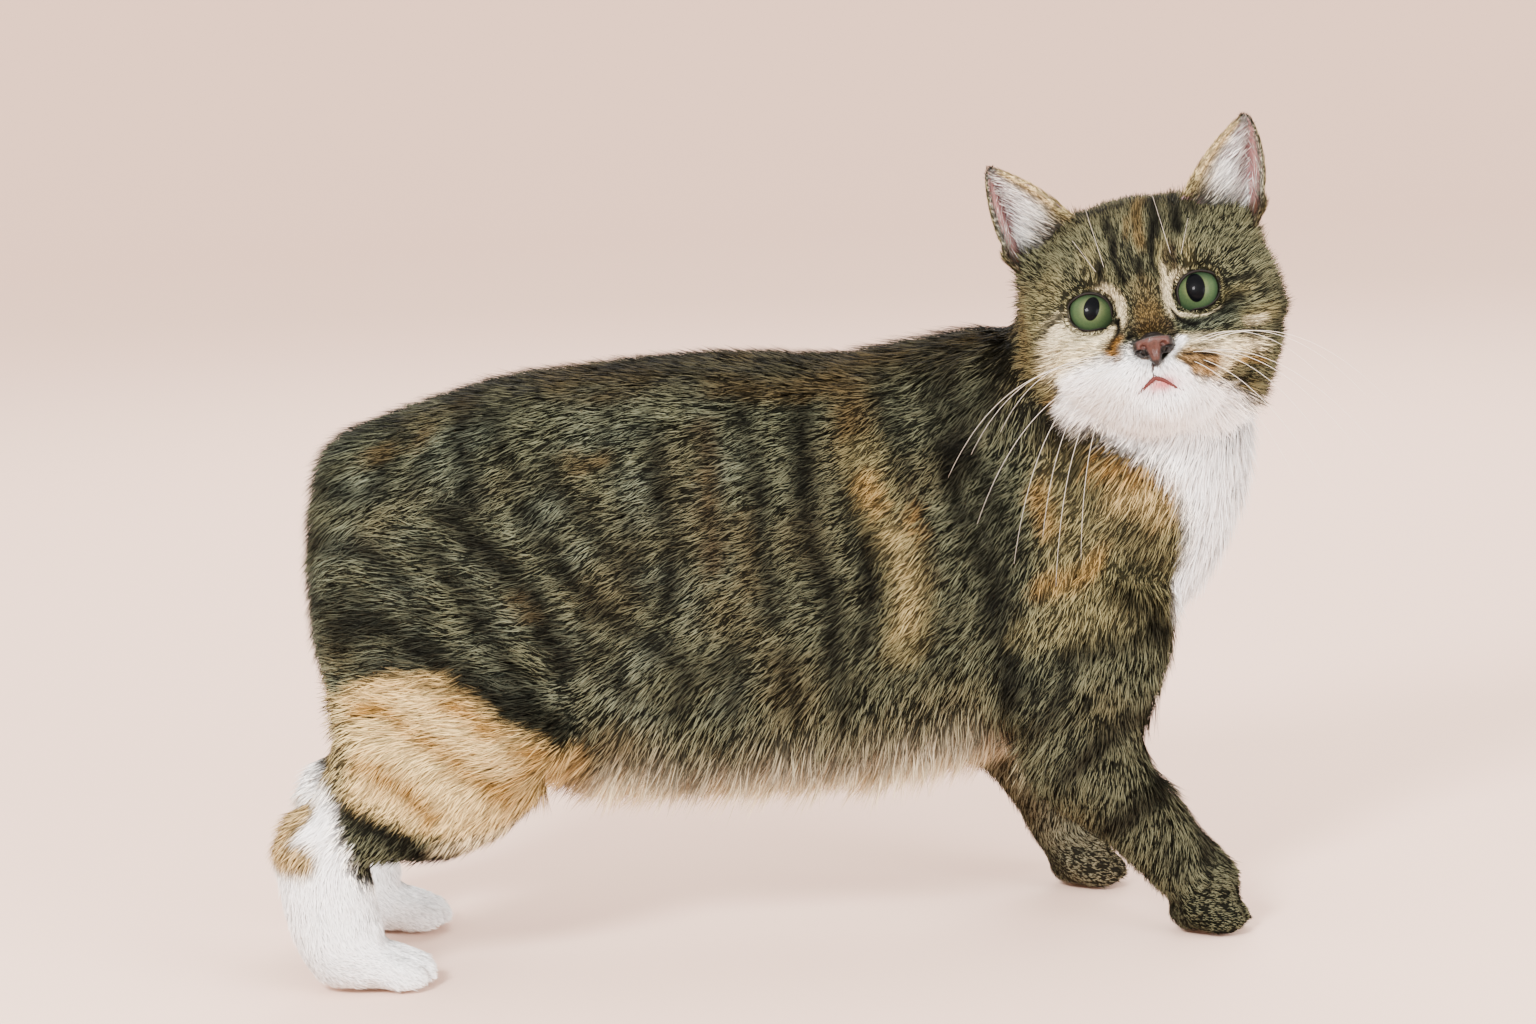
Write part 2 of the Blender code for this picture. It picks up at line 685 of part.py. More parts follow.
def build_head(nodes, tools):
    skull = merge("skull", head_shapes(), tools, HEAD_VOXEL, 16, 4 * HEAD_TRIANGLES)
    cut(skull, [eye_hollow(side) for side in (-1, 1)], tools)
    lids = [eye_lid_shell(side) for side in (-1, 1)]
    head = merge("head", [skull.data] + lids, nodes, HEAD_VOXEL, 5, HEAD_TRIANGLES)
    bpy.data.objects.remove(skull)
    for side in (-1, 1):
        socket = ellipsoid(eye_centre(side), (EYEBALL_RADIUS + GAP,) * 3, segments=18)
        cut(head, [eye_opening(side), socket], tools)

    nose = merge("nose", nose_shapes(), nodes, 0.0007, 3, 200)
    nostrils = [
        ellipsoid((0.0290, side * 0.0042, -0.0238), (0.0026, 0.0017, 0.0013), (side * 28, 25, side * 20), segments=12)
        for side in (-1, 1)
    ]
    cut(nose, nostrils, tools)
    cut(head, [grown(nose)], tools)
    cut(head, mouth_grooves(head), tools)
    for mesh in whisker_shapes():
        whisker = new_object("whisker", mesh, tools)
        boolean(head, whisker, "UNION")
        bpy.data.objects.remove(whisker)

    pieces = [head, nose]
    for side, name in ((-1, "right"), (1, "left")):
        eye = new_object("eye_" + name, ellipsoid(eye_centre(side), (EYEBALL_RADIUS,) * 3, segments=18), nodes)
        pieces += [eye, build_ear(side, "ear_" + name, head, nodes, tools)]
    for piece in pieces:
        piece.data.transform(head_place())


def head_place():
    turn = Matrix.Rotation(math.radians(HEAD_TURN), 4, "Z")
    lift = Matrix.Rotation(math.radians(-HEAD_LIFT), 4, "Y")
    tilt = Matrix.Rotation(math.radians(HEAD_TILT), 4, "X")
    return Matrix.Translation(EYE_MIDPOINT) @ turn @ lift @ tilt


def finish_nodes(nodes):
    """Puts the origin under the middle of the figure, and gives every node its surface."""
    points = np.array([v.co for piece in nodes.objects for v in piece.data.vertices])
    low, high = points.min(0), points.max(0)
    middle = Vector(((low[0] + high[0]) / 2, (low[1] + high[1]) / 2, 0))
    kinds = {
        "ear": "ear", "eye": "iris", "nose": "nose", "hind_foot": "white", "shank": "ginger", "thigh": "tabby",
    }
    for piece in nodes.objects:
        piece.data.transform(Matrix.Translation(-middle))
        kind = next((kinds[k] for k in kinds if piece.name.startswith(k)), "tabby")
        piece.data.materials.clear()
        piece.data.materials.append(coat_material(kind, 0.2 if kind == "iris" else 0.8))
        piece.data.shade_smooth()
        piece.data.set_sharp_from_angle(angle=math.radians(50))
    print("figure moved by", [round(-c, 5) for c in middle])


def main():
    clear_scene()
    nodes = bpy.data.collections.new("manx_cat")
    tools = bpy.data.collections.new("cutters")
    tools.hide_render = True
    bpy.context.scene.collection.children.link(nodes)
    bpy.context.scene.collection.children.link(tools)
    build_body(nodes, tools)
    build_paws(nodes, tools)
    build_head(nodes, tools)
    neck = bpy.data.objects["neck"]
    for name in ("ear_right", "ear_left"):
        cut(bpy.data.objects[name], [grown(neck)], tools)
    cut(neck, [grown(bpy.data.objects["head"])], tools)
    finish_nodes(nodes)


main()
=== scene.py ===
import math

import bmesh
import bpy
import numpy as np
from mathutils import Matrix, Vector, noise
from mathutils.bvhtree import BVHTree
from mathutils.kdtree import KDTree


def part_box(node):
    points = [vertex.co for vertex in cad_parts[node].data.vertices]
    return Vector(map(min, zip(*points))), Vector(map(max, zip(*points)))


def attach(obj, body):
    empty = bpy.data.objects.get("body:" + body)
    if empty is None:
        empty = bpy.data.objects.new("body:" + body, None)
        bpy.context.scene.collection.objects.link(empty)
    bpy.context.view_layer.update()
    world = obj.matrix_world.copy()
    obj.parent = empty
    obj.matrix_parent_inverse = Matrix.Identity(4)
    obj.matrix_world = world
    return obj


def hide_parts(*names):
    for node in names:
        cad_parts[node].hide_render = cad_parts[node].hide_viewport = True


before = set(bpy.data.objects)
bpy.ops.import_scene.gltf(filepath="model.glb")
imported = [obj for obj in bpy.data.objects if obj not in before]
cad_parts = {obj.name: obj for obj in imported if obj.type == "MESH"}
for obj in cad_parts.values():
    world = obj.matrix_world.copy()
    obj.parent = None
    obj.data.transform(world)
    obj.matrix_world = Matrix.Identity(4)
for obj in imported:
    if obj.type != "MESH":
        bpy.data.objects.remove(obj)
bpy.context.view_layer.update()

# How the cat is held, in metres and degrees, seen from the floor point under the middle of its body
catPose = {
    "eyeMidpoint": (0.1477, -0.060, 0.2608),
    "eyeSpacing": 0.0432,
    "eyeSetBack": 0.0108,
    "eyeRadius": 0.0107,
    "eyeSlant": 9,
    "openHalfWidth": 0.0083,
    "openHalfHeight": 0.0071,
    "innerCorner": 0.0022,
    "outerCorner": 0.0006,
    "headTurn": -103.0,
    "headLift": 15.0,
    "headTilt": 10.0,
}


def srgb(red, green, blue):
    # a colour as seen, 0 to 255, made linear
    seen = np.array((red, green, blue), float) / 255
    return np.where(seen <= 0.04045, seen / 12.92, ((seen + 0.055) / 1.055) ** 2.4)


def smoothStep(low, high, value):
    t = np.clip((value - low) / (high - low), 0, 1)
    return t * t * (3 - 2 * t)


def between(value, low, full, fading, gone):
    # 1 from full to fading, 0 below low and past gone
    return smoothStep(low, full, value) * (1 - smoothStep(fading, gone, value))


def closeness(points, place, near, far, stretch=1.0):
    # 1 within the near distance of a place, 0 beyond the far one
    return 1 - smoothStep(near, far, np.linalg.norm((points - place) / stretch, axis=1))


def turnedPair(across, up, turn):
    # a pair of axes or of measures along them, turned
    return across * math.cos(turn) + up * math.sin(turn), up * math.cos(turn) - across * math.sin(turn)


def headMatrix():
    turn = Matrix.Rotation(math.radians(catPose["headTurn"]), 4, "Z")
    lift = Matrix.Rotation(math.radians(-catPose["headLift"]), 4, "Y")
    tilt = Matrix.Rotation(math.radians(catPose["headTilt"]), 4, "X")
    return Matrix.Translation(catPose["eyeMidpoint"]) @ turn @ lift @ tilt


def boxCentre(node):
    low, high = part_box(node)
    return (low + high) / 2


# the frame's origin lies under the middle of the whole figure; the body's own middle is found from the eyes
eyesBetween = (boxCentre("eye_left") + boxCentre("eye_right")) / 2
bodyShift = eyesBetween - headMatrix() @ Vector((-catPose["eyeSetBack"], 0, 0))
headPlace = Matrix.Translation(bodyShift) @ headMatrix()
headPlaceInverse = headPlace.inverted()


def placed(points, matrix):
    points = np.asarray(points, float)
    m = np.array(matrix)
    return points @ m[:3, :3].T + m[:3, 3]


def unit(vectors):
    return vectors / np.maximum(np.linalg.norm(vectors, axis=-1, keepdims=True), 1e-9)


def combed(flow, normals):
    # directions laid flat along a surface
    return unit(flow - normals * np.sum(flow * normals, 1)[:, None])


def newPiece(name, mesh):
    piece = bpy.data.objects.new(name, mesh)
    bpy.context.scene.collection.objects.link(piece)
    return piece


def meshFrom(name, points, faces):
    mesh = bpy.data.meshes.new(name)
    mesh.from_pydata([tuple(p) for p in points], [], [tuple(int(i) for i in f) for f in faces])
    mesh.validate()
    return mesh


def baked(piece):
    # the piece with its modifiers made part of its mesh
    graph = bpy.context.evaluated_depsgraph_get()
    mesh = bpy.data.meshes.new_from_object(piece.evaluated_get(graph))
    piece.modifiers.clear()
    piece.data = mesh
    return piece


def largestPart(piece):
    bm = bmesh.new()
    bm.from_mesh(piece.data)
    unseen = set(bm.verts)
    groups = []
    while unseen:
        stack = [unseen.pop()]
        group = list(stack)
        while stack:
            for edge in stack.pop().link_edges:
                for vert in edge.verts:
                    if vert in unseen:
                        unseen.remove(vert)
                        group.append(vert)
                        stack.append(vert)
        groups.append(group)
    groups.sort(key=len)
    bmesh.ops.delete(bm, geom=[v for group in groups[:-1] for v in group], context="VERTS")
    bm.to_mesh(piece.data)
    bm.free()
    return piece


def vertexPoints(mesh):
    points = np.empty(len(mesh.vertices) * 3)
    mesh.vertices.foreach_get("co", points)
    return points.reshape(-1, 3)


def setVertexPoints(mesh, points):
    mesh.vertices.foreach_set("co", np.ascontiguousarray(points, np.float32).ravel())
    mesh.update()


def vertexNormals(mesh):
    normals = np.empty(len(mesh.vertices) * 3)
    mesh.vertex_normals.foreach_get("vector", normals)
    return normals.reshape(-1, 3)


def edgePairs(mesh):
    pairs = np.empty(len(mesh.edges) * 2, np.int32)
    mesh.edges.foreach_get("vertices", pairs)
    return pairs.reshape(-1, 2)


def spread(values, pairs, times, share=0.5):
    # evens out values over neighbouring points of a mesh
    values = np.array(values, float)
    flat = values.reshape(len(values), -1)
    count = np.bincount(pairs.ravel(), minlength=len(flat)).astype(float)[:, None]
    for _ in range(times):
        total = np.empty_like(flat)
        for c in range(flat.shape[1]):
            total[:, c] = np.bincount(pairs[:, 0], flat[pairs[:, 1], c], len(flat))
            total[:, c] += np.bincount(pairs[:, 1], flat[pairs[:, 0], c], len(flat))
        flat = flat * (1 - share) + share * total / np.maximum(count, 1)
    return flat.reshape(values.shape)


def storeAttribute(mesh, name, values, kind="FLOAT", domain="POINT"):
    if name in mesh.attributes:
        mesh.attributes.remove(mesh.attributes[name])
    attribute = mesh.attributes.new(name, kind, domain)
    field = "vector" if kind == "FLOAT_VECTOR" else "value"
    number = np.int32 if kind == "INT" else np.float32
    attribute.data.foreach_set(field, np.ascontiguousarray(values, number).ravel())


def roughness3d(points, scale, seed=0.0):
    # smooth noise from -1 to 1 at each point; scale is the size of its lumps in metres
    offset = Vector((seed * 7.3, seed * 3.1, seed * 5.7))
    return np.array([noise.noise(Vector(p) / scale + offset) for p in points])


# Skin: one surface in place of all the flesh nodes

skinSettings = {
    "fineness": 0.00200,
    "softening": 5,
    "creaseReach": 14,
    "creaseRounds": 110,
    "notFlesh": ("eye_left", "eye_right", "ear_left", "ear_right", "nose"),
}
coatByPart = {
    # hair length and width, tufts per square millimetre, depth of the coat; lengths in millimetres
    "rump": (13.5, 0.59, 1.62, 6.0),
    "abdomen": (12.5, 0.57, 1.70, 5.8),
    "chest": (13.5, 0.58, 1.62, 6.0),
    "neck": (17.0, 0.60, 1.55, 6.0),
    "head": (11.5, 0.46, 2.55, 3.0),
    "upper_arm": (13.5, 0.59, 1.52, 5.0),
    "forearm": (10.0, 0.53, 1.90, 3.2),
    "forepaw": (6.0, 0.47, 2.60, 1.6),
    "thigh": (14.5, 0.60, 1.60, 5.2),
    "shank": (11.0, 0.56, 1.75, 3.4),
    "hind_foot": (6.5, 0.50, 2.30, 1.6),
}
partNames = list(coatByPart)


def partOf(node):
    return next(i for i, part in enumerate(partNames) if node.startswith(part))


def fleshNodes():
    return [n for n in sorted(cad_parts) if n not in skinSettings["notFlesh"]]


def remeshed(name, nodes, fineness):
    # one closed, evenly divided surface round the nodes
    bm = bmesh.new()
    for node in nodes:
        bm.from_mesh(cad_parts[node].data)
    bmesh.ops.remove_doubles(bm, verts=bm.verts, dist=1e-6)
    mesh = bpy.data.meshes.new(name)
    bm.to_mesh(mesh)
    bm.free()
    piece = newPiece(name, mesh)
    remesh = piece.modifiers.new("oneSurface", "REMESH")
    remesh.mode = "VOXEL"
    remesh.voxel_size = fineness
    return baked(piece)


def partWeights(points, pairs):
    # how much each point of the skin belongs to each part of the body
    nodes = fleshNodes()
    total = sum(len(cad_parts[n].data.vertices) for n in nodes)
    tree = KDTree(total)
    owner = []
    for node in nodes:
        nodePoints = vertexPoints(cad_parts[node].data)
        if node == "head":
            nodePoints = nodePoints[np.abs(headLocal(nodePoints) - (-0.04, 0, 0)).max(axis=1) < 0.062]
        for point in nodePoints:
            tree.insert(point, len(owner))
            owner.append(partOf(node))
    tree.balance()
    nearest = np.array([owner[tree.find(p)[1]] for p in points])
    weights = np.zeros((len(points), len(partNames)))
    weights[np.arange(len(points)), nearest] = 1.0
    return spread(weights, pairs, 22)


def headLocal(points):
    return placed(points, headPlaceInverse)


cornerAims = ((-0.84, -0.54, "innerCorner"), (0.92, 0.38, "outerCorner"))
cornerSpread = 0.30


def openingReach(across, up, side):
    # how far an eye's opening reaches from its middle in that direction
    away = np.maximum(np.hypot(across, up), 1e-6)
    y, z = across / away, up / away
    reach = 1 / np.hypot(y / catPose["openHalfWidth"], z / catPose["openHalfHeight"])
    for toSide, toTop, corner in cornerAims:
        angle = np.arccos(np.clip(side * toSide * y + toTop * z, -1, 1))
        reach = reach + catPose[corner] * np.exp(-(angle / cornerSpread) ** 2)
    return reach


def eyePlane(local, side):
    # across and up from the middle of an eye, in its own slant
    across = local[:, 1] - side * catPose["eyeSpacing"] / 2
    return turnedPair(across, local[:, 2], math.radians(side * catPose["eyeSlant"]))


def eyeDistance(local):
    # 1 at the edge of the nearer eye's opening
    shares = []
    for side in (-1, 1):
        across, up = eyePlane(local, side)
        shares.append(np.hypot(across, up) / openingReach(across, up, side))
    return np.minimum(*shares)


eyeSocket = {
    "rear": -0.045,
    "ballEdge": 0.0080,
    "lidAhead": 0.0004,
    "lidSlope": 0.55,
    "lidEnd": (0.0112, 0.0135),
    "sunk": 0.006,
}


def openEyes(points):
    # the skin fills each socket as thick lids, close round the eyeball, and is open over the eye itself
    local = headLocal(points)
    front = local[:, 0] > eyeSocket["rear"]
    for side in (-1, 1):
        across, up = eyePlane(local, side)
        away = np.hypot(across, up)
        share = away / openingReach(across, up, side)
        edge = eyeSocket["ballEdge"]
        onBall = np.sqrt(catPose["eyeRadius"] ** 2 - np.minimum(away, edge) ** 2) - catPose["eyeSetBack"]
        lid = onBall + eyeSocket["lidAhead"] - eyeSocket["lidSlope"] * np.maximum(away - edge, 0)
        filled = front * smoothStep(0.96, 1.02, share) * (1 - smoothStep(*eyeSocket["lidEnd"], away))
        local[:, 0] += np.maximum(lid - local[:, 0], 0) * filled
        opened = front * (1 - smoothStep(0.94, 1.0, share))
        local[:, 0] += np.minimum(onBall - eyeSocket["sunk"] - local[:, 0], 0) * opened
    return placed(local, headPlace)


def muzzleCloseness(local):
    return closeness(local, (0.014, 0, -0.027), 0.012, 0.034, (1.0, 1.15, 0.95))


def faceCloseness(local):
    # 1 on the front of the face, 0 from behind the cheeks
    return smoothStep(-0.040, -0.012, local[:, 0])


footHeight = 0.03


def footPoints(points, weights):
    # which points belong to each foot
    for part in ("forepaw", "hind_foot"):
        for side in (-1, 1):
            onPart = weights[:, partNames.index(part)] > 0.5
            yield onPart & (points[:, 1] * side > 0) & (points[:, 2] < footHeight)


def finerFace(mesh, weights, depth):
    # closer points on the face and the feet, so that their small forms and markings stay crisp
    old = vertexPoints(mesh)
    wanted = (headLocal(old)[:, 0] > -0.020) & (weights[:, partNames.index("head")] > 0.5)
    for foot in footPoints(old, weights):
        wanted |= foot & (old[:, 0] > np.percentile(old[foot, 0], 99.5) - 0.020) & (old[:, 2] > 0.0005)
    bm = bmesh.new()
    bm.from_mesh(mesh)
    edges = {e for f in bm.faces if all(wanted[v.index] for v in f.verts) for e in f.edges}
    bmesh.ops.subdivide_edges(bm, edges=list(edges), cuts=2, use_grid_fill=True)
    bm.to_mesh(mesh)
    bm.free()
    points, pairs = vertexPoints(mesh), edgePairs(mesh)
    fresh = (np.arange(len(points)) >= len(old))[:, None]
    for _ in range(4):
        points += (spread(points, pairs, 1, 1.0) - points) * 0.5 * fresh
    setVertexPoints(mesh, points)
    tree = KDTree(len(old))
    for i, point in enumerate(old):
        tree.insert(point, i)
    tree.balance()
    values = np.hstack((weights, depth[:, None]))
    added = []
    for point in points[len(old):]:
        found = tree.find_n(point, 4)
        share = np.array([1 / (distance + 1e-5) for _, _, distance in found])
        added.append(values[[index for _, index, _ in found]].T @ share / share.sum())
    values = np.vstack((values, added))
    return values[:, :-1], values[:, -1]


toeShape = {
    "length": 0.021,
    "grooveDepth": 0.0021,
    "grooveWidth": 0.0011,
    "rise": 0.0010,
    "places": (-0.52, 0.0, 0.52),
}


def splitToes(points, normals, weights):
    # grooves between the four toes of each foot, with the toes rounded up between them
    moved, grooves = points.copy(), np.zeros(len(points))
    for foot in footPoints(points, weights):
        front = np.percentile(points[foot, 0], 99.5)
        toes = foot & (points[:, 0] > front - 0.016)
        low, high = np.percentile(points[toes, 1], (2, 98))
        along = smoothStep(front - toeShape["length"], front - 0.4 * toeShape["length"], points[:, 0])
        along *= foot * smoothStep(0.0005, 0.003, points[:, 2])
        groove = np.zeros(len(points))
        for place in toeShape["places"]:
            middle = (low + high) / 2 + place * (high - low) / 2 + 0.05 * (front - points[:, 0]) * -place
            groove = np.maximum(groove, np.exp(-((points[:, 1] - middle) / toeShape["grooveWidth"]) ** 2))
        shift = toeShape["rise"] * (1 - groove) - toeShape["grooveDepth"] * groove
        moved += normals * (shift * along)[:, None]
        # the grooves' share, which the markings darken as painted shade
        grooves = np.maximum(grooves, groove * along)
    return moved, grooves


def makeSkin():
    skin = largestPart(remeshed("catSkin", fleshNodes(), skinSettings["fineness"]))
    mesh = skin.data
    pairs = edgePairs(mesh)
    points = spread(vertexPoints(mesh), pairs, skinSettings["softening"])
    setVertexPoints(mesh, points)
    weights = partWeights(points, pairs)
    local = headLocal(points)
    head = weights[:, partNames.index("head")]
    depths = np.array([coatByPart[p][3] for p in partNames]) / 1000
    depth = weights @ depths
    muzzle = muzzleCloseness(local)
    depth *= 1 - head * (0.70 * muzzle + 0.25 * faceCloseness(local) * (1 - muzzle))
    # the head's left side is fuller at the temple than at the jaw
    leftSide = head * smoothStep(0.030, 0.040, local[:, 1])
    depth *= 1 - 0.75 * leftSide * smoothStep(-0.004, 0.008, local[:, 2])
    depth *= 1 + 0.90 * leftSide * smoothStep(-0.008, -0.018, local[:, 2])
    depth = spread(depth, pairs, 6)
    # fill the fold between the head and the neck, which the coat hides
    crease = np.clip(5 * head * weights[:, partNames.index("neck")], 0, 1)
    crease = spread(crease, pairs, skinSettings["creaseReach"])
    for _ in range(skinSettings["creaseRounds"]):
        points += (spread(points, pairs, 1, 1.0) - points) * 0.5 * crease[:, None]
    setVertexPoints(mesh, points)
    for _ in range(2):
        points -= vertexNormals(mesh) * depth[:, None] * 0.5
        points = spread(points, pairs, 2)
        setVertexPoints(mesh, points)
    weights, depth = finerFace(mesh, weights, depth)
    setVertexPoints(mesh, openEyes(vertexPoints(mesh)))
    points, grooves = splitToes(vertexPoints(mesh), vertexNormals(mesh), weights)
    setVertexPoints(mesh, points)
    mesh.shade_smooth()
    return skin, weights, edgePairs(mesh), depth, grooves


skin, partShare, skinPairs, coatDepth, toeGrooveShade = makeSkin()
skinPoints = vertexPoints(skin.data)
skinNormals = vertexNormals(skin.data)
print("skin:", len(skinPoints), "points")

# The coat's lie, length and thickness, held at each point of the skin

coatLie = {
    # where the hair of each part points, ahead and up, and how far it stands off the skin in degrees
    "rump": (-0.78, -0.52, 21),
    "abdomen": (-0.92, -0.40, 21),
    "chest": (-0.80, -0.58, 21),
    "neck": (-0.50, -0.86, 20),
    "head": (0.0, -1.0, 16),
    "upper_arm": (-0.45, -0.90, 20),
    "forearm": (-0.20, -1.00, 15),
    "forepaw": (0.90, -0.55, 13),
    "thigh": (-0.96, 0.04, 17),
    "shank": (-0.72, -0.66, 16),
    "hind_foot": (0.10, -1.00, 13),
}
coatDetail = {
    "noseBase": (0.0245, 0.0, -0.0210),
    "lockTurn": 11,
    "lockSize": 0.0085,
    "swirlTurn": 6,
    "swirlSize": 0.032,
    "fringeLength": 1.65,
    "fringeLocks": 1.1,
    "faceThickness": 4.5,
    "faceHairWidth": 0.37,
    "shorter": {"muzzle": 0.62, "bridge": 0.55, "eye": 0.62, "face": 0.25, "cheek": 0.15, "toes": 0.45},
    "longer": {"jaw": 0.75, "temple": 0.5, "earFoot": 0.8},
    "steeper": {"jaw": 4, "temple": 4, "leftTemple": 6, "earFoot": 10, "rear": 8, "fringe": 12},
    "flatter": {"eye": 0.35, "bridge": 0.3},
}
shiftArray = np.array(bodyShift)
headTurnArray = np.array(headPlace)[:3, :3]
skinLocal = headLocal(skinPoints)
bodyPoints = (skinPoints - shiftArray) * 100
headShare = partShare[:, partNames.index("head")]
faceSide = smoothStep(-0.034, -0.022, skinLocal[:, 0])


def shareOf(*names):
    return sum(partShare[:, partNames.index(n)] for n in names)


def rotatedAbout(vectors, axes, angles):
    c, s = np.cos(angles)[:, None], np.sin(angles)[:, None]
    along = axes * (np.sum(axes * vectors, 1)[:, None])
    return vectors * c + np.cross(axes, vectors) * s + along * (1 - c)


def lieOfCoat():
    ahead = partShare @ np.array([coatLie[p][0] for p in partNames])
    up = partShare @ np.array([coatLie[p][1] for p in partNames])
    flow = np.stack((ahead, np.zeros_like(ahead), up), 1)
    # toes point forward, and the belly's hair hangs
    toes = shareOf("hind_foot", "forepaw") * (1 - smoothStep(0.012, 0.030, skinPoints[:, 2]))
    flow += toes[:, None] * np.array((1.6, 0, 0.1))
    low = shareOf("abdomen", "chest") * (1 - smoothStep(9.0, 13.5, bodyPoints[:, 2]))
    flow += low[:, None] * np.array((0.45, 0, -0.75))
    # on the head it runs back and out from the nose, and parts round the eyes
    fromNose = unit(skinLocal - np.array(coatDetail["noseBase"]))
    back = smoothStep(-0.030, -0.070, skinLocal[:, 0])
    fromNose = fromNose * (1 - 0.85 * back[:, None]) + back[:, None] * np.array((-0.15, 0, -1.0))
    half = catPose["eyeSpacing"] / 2
    for side in (-1, 1):
        away = skinLocal - (0.0, side * half, 0.0)
        near = (1 - smoothStep(0.008, 0.019, np.hypot(away[:, 1], away[:, 2]))) * faceSide
        fromNose += near[:, None] * unit(away * (0, 1, 1)) * 2.2
    faceFlow = unit(fromNose) @ headTurnArray.T
    flow = unit(flow) * (1 - headShare[:, None]) + faceFlow * headShare[:, None]
    flow = spread(combed(flow, skinNormals), skinPairs, 5)
    turns = 0
    for seed, kind in ((1, "lock"), (2, "swirl")):
        wave = roughness3d(skinPoints, coatDetail[kind + "Size"], seed)
        turns = turns + wave * math.radians(coatDetail[kind + "Turn"] * 2)
    flow = rotatedAbout(unit(flow), skinNormals, turns * (1 - 0.5 * headShare))
    return combed(flow, skinNormals)


def coatAmounts():
    values = np.array([coatByPart[p][:3] for p in partNames], float)
    length, width, thickness = (partShare @ values).T
    lift = partShare @ np.array([coatLie[p][2] for p in partNames], float)
    shorter, longer, steeper, flatter = (coatDetail[k] for k in ("shorter", "longer", "steeper", "flatter"))
    ahead, left, up = skinLocal.T
    side = np.abs(left)
    opening = eyeDistance(skinLocal)
    face = headShare * faceCloseness(skinLocal)
    thickness = thickness * (1 - face) + coatDetail["faceThickness"] * face
    width = width * (1 - face) + coatDetail["faceHairWidth"] * face
    # short on the muzzle, down the bridge of the nose and round the eyes
    muzzle = muzzleCloseness(skinLocal) * headShare
    bridge = headShare * closeness(skinLocal, (0.024, 0, -0.012), 0.006, 0.020)
    eye = headShare * (1 - smoothStep(1.15, 2.4, opening)) * faceSide
    length *= (1 - shorter["muzzle"] * muzzle) * (1 - shorter["bridge"] * bridge)
    length *= (1 - shorter["eye"] * eye) * (1 - shorter["face"] * face * (up > -0.01))
    lift *= (1 - flatter["eye"] * eye) * (1 - flatter["bridge"] * bridge)
    # long on the jaw, the cheeks' rear and the throat, where it runs on into the bib
    jaw = headShare * smoothStep(-0.030, -0.046, up) * smoothStep(0.022, 0.004, ahead)
    cheek = headShare * smoothStep(0.034, 0.046, side) * smoothStep(0.012, -0.006, up)
    length *= 1 + longer["jaw"] * jaw - shorter["cheek"] * cheek
    # tufts before the ears, which carry the crown's line across
    temple = smoothStep(0.033, 0.041, side) * smoothStep(0.000, 0.010, up)
    earFoot = np.exp(-((side - 0.025) / 0.008) ** 2) * smoothStep(0.034, 0.040, up)
    leftTemple = smoothStep(0.034, 0.040, left) * between(up, -0.016, -0.006, 0.006, 0.020)
    temples = np.maximum(temple, leftTemple)
    length *= 1 + headShare * (longer["temple"] * temples + longer["earFoot"] * earFoot)
    for name, mask in (("temple", temple), ("leftTemple", leftTemple), ("earFoot", earFoot)):
        lift += headShare * steeper[name] * mask
    lift += steeper["jaw"] * jaw
    lift += steeper["rear"] * smoothStep(-0.5, -0.95, skinNormals[:, 0]) * shareOf("rump", "thigh")
    # the fringe under the belly
    fringe = shareOf("abdomen", "chest") + 0.2 * shareOf("rump", "thigh")
    fringe *= between(bodyPoints[:, 2], 6.5, 8.0, 9.5, 11.5)
    fringe *= 1 - smoothStep(-0.1, 0.5, skinNormals[:, 2])
    locks = coatDetail["fringeLocks"] * np.maximum(roughness3d(skinPoints, 0.0055, 9), -0.3)
    length *= 1 + (coatDetail["fringeLength"] - 1 + locks) * fringe
    lift += steeper["fringe"] * fringe
    length *= 1 + 0.16 * roughness3d(skinPoints, 0.006, 3)
    # short on the toes
    toes = shareOf("forepaw", "hind_foot") * smoothStep(0.030, 0.016, skinPoints[:, 2])
    length *= 1 - shorter["toes"] * toes
    width *= 1 - 0.20 * toes
    # bare places: the eyes, the nose leather and the soles
    nose = np.hypot(left / 0.0076, (up + 0.0248) / 0.0048)
    bare = headShare * (1 - smoothStep(1.01, 1.07, opening)) * (ahead > -0.02)
    bare = np.maximum(bare, headShare * (1 - smoothStep(0.85, 1.05, nose)) * (ahead > 0))
    bare = np.maximum(bare, 1 - smoothStep(0.0025, 0.0045, skinPoints[:, 2]))
    thickness *= 1 - bare
    return length / 1000, width / 1000, thickness * 1e6, np.radians(lift)


coatFlow = lieOfCoat()
coatLength, coatWidth, coatThickness, coatLift = coatAmounts()
print("lie of the coat done")

# Markings: drawn strokes and fields of a few colours; the body's in centimetres ahead and up

palette = {
    "tabby": srgb(41, 43, 34),
    "tabbyGrey": srgb(44, 48, 41),
    "tabbyWarm": srgb(45, 42, 30),
    "back": srgb(32, 29, 20),
    "dark": srgb(6, 6, 5),
    "brown": srgb(31, 25, 17),
    "rust": srgb(46, 38, 23),
    "bronze": srgb(62, 51, 30),
    "ginger": srgb(90, 64, 30),
    "orange": srgb(124, 92, 42),
    "tan": srgb(68, 64, 44),
    "cream": srgb(176, 154, 104),
    "paleCream": srgb(200, 188, 154),
    "white": srgb(246, 247, 247),
    "greyWhite": srgb(120, 113, 98),
    "fringe": srgb(66, 62, 48),
    "lip": srgb(184, 80, 82),
}
agouti = {
    # how strongly each colour's hairs are banded
    "tabby": 1.0, "tabbyGrey": 1.0, "tabbyWarm": 0.95, "back": 0.8, "dark": 0.25, "brown": 0.5,
    "rust": 0.6, "bronze": 0.35, "ginger": 0.35, "orange": 0.20, "tan": 0.60, "cream": 0.14,
    "paleCream": 0.08, "white": 0.0, "greyWhite": 0.2, "fringe": 0.5, "lip": 0.0,
}

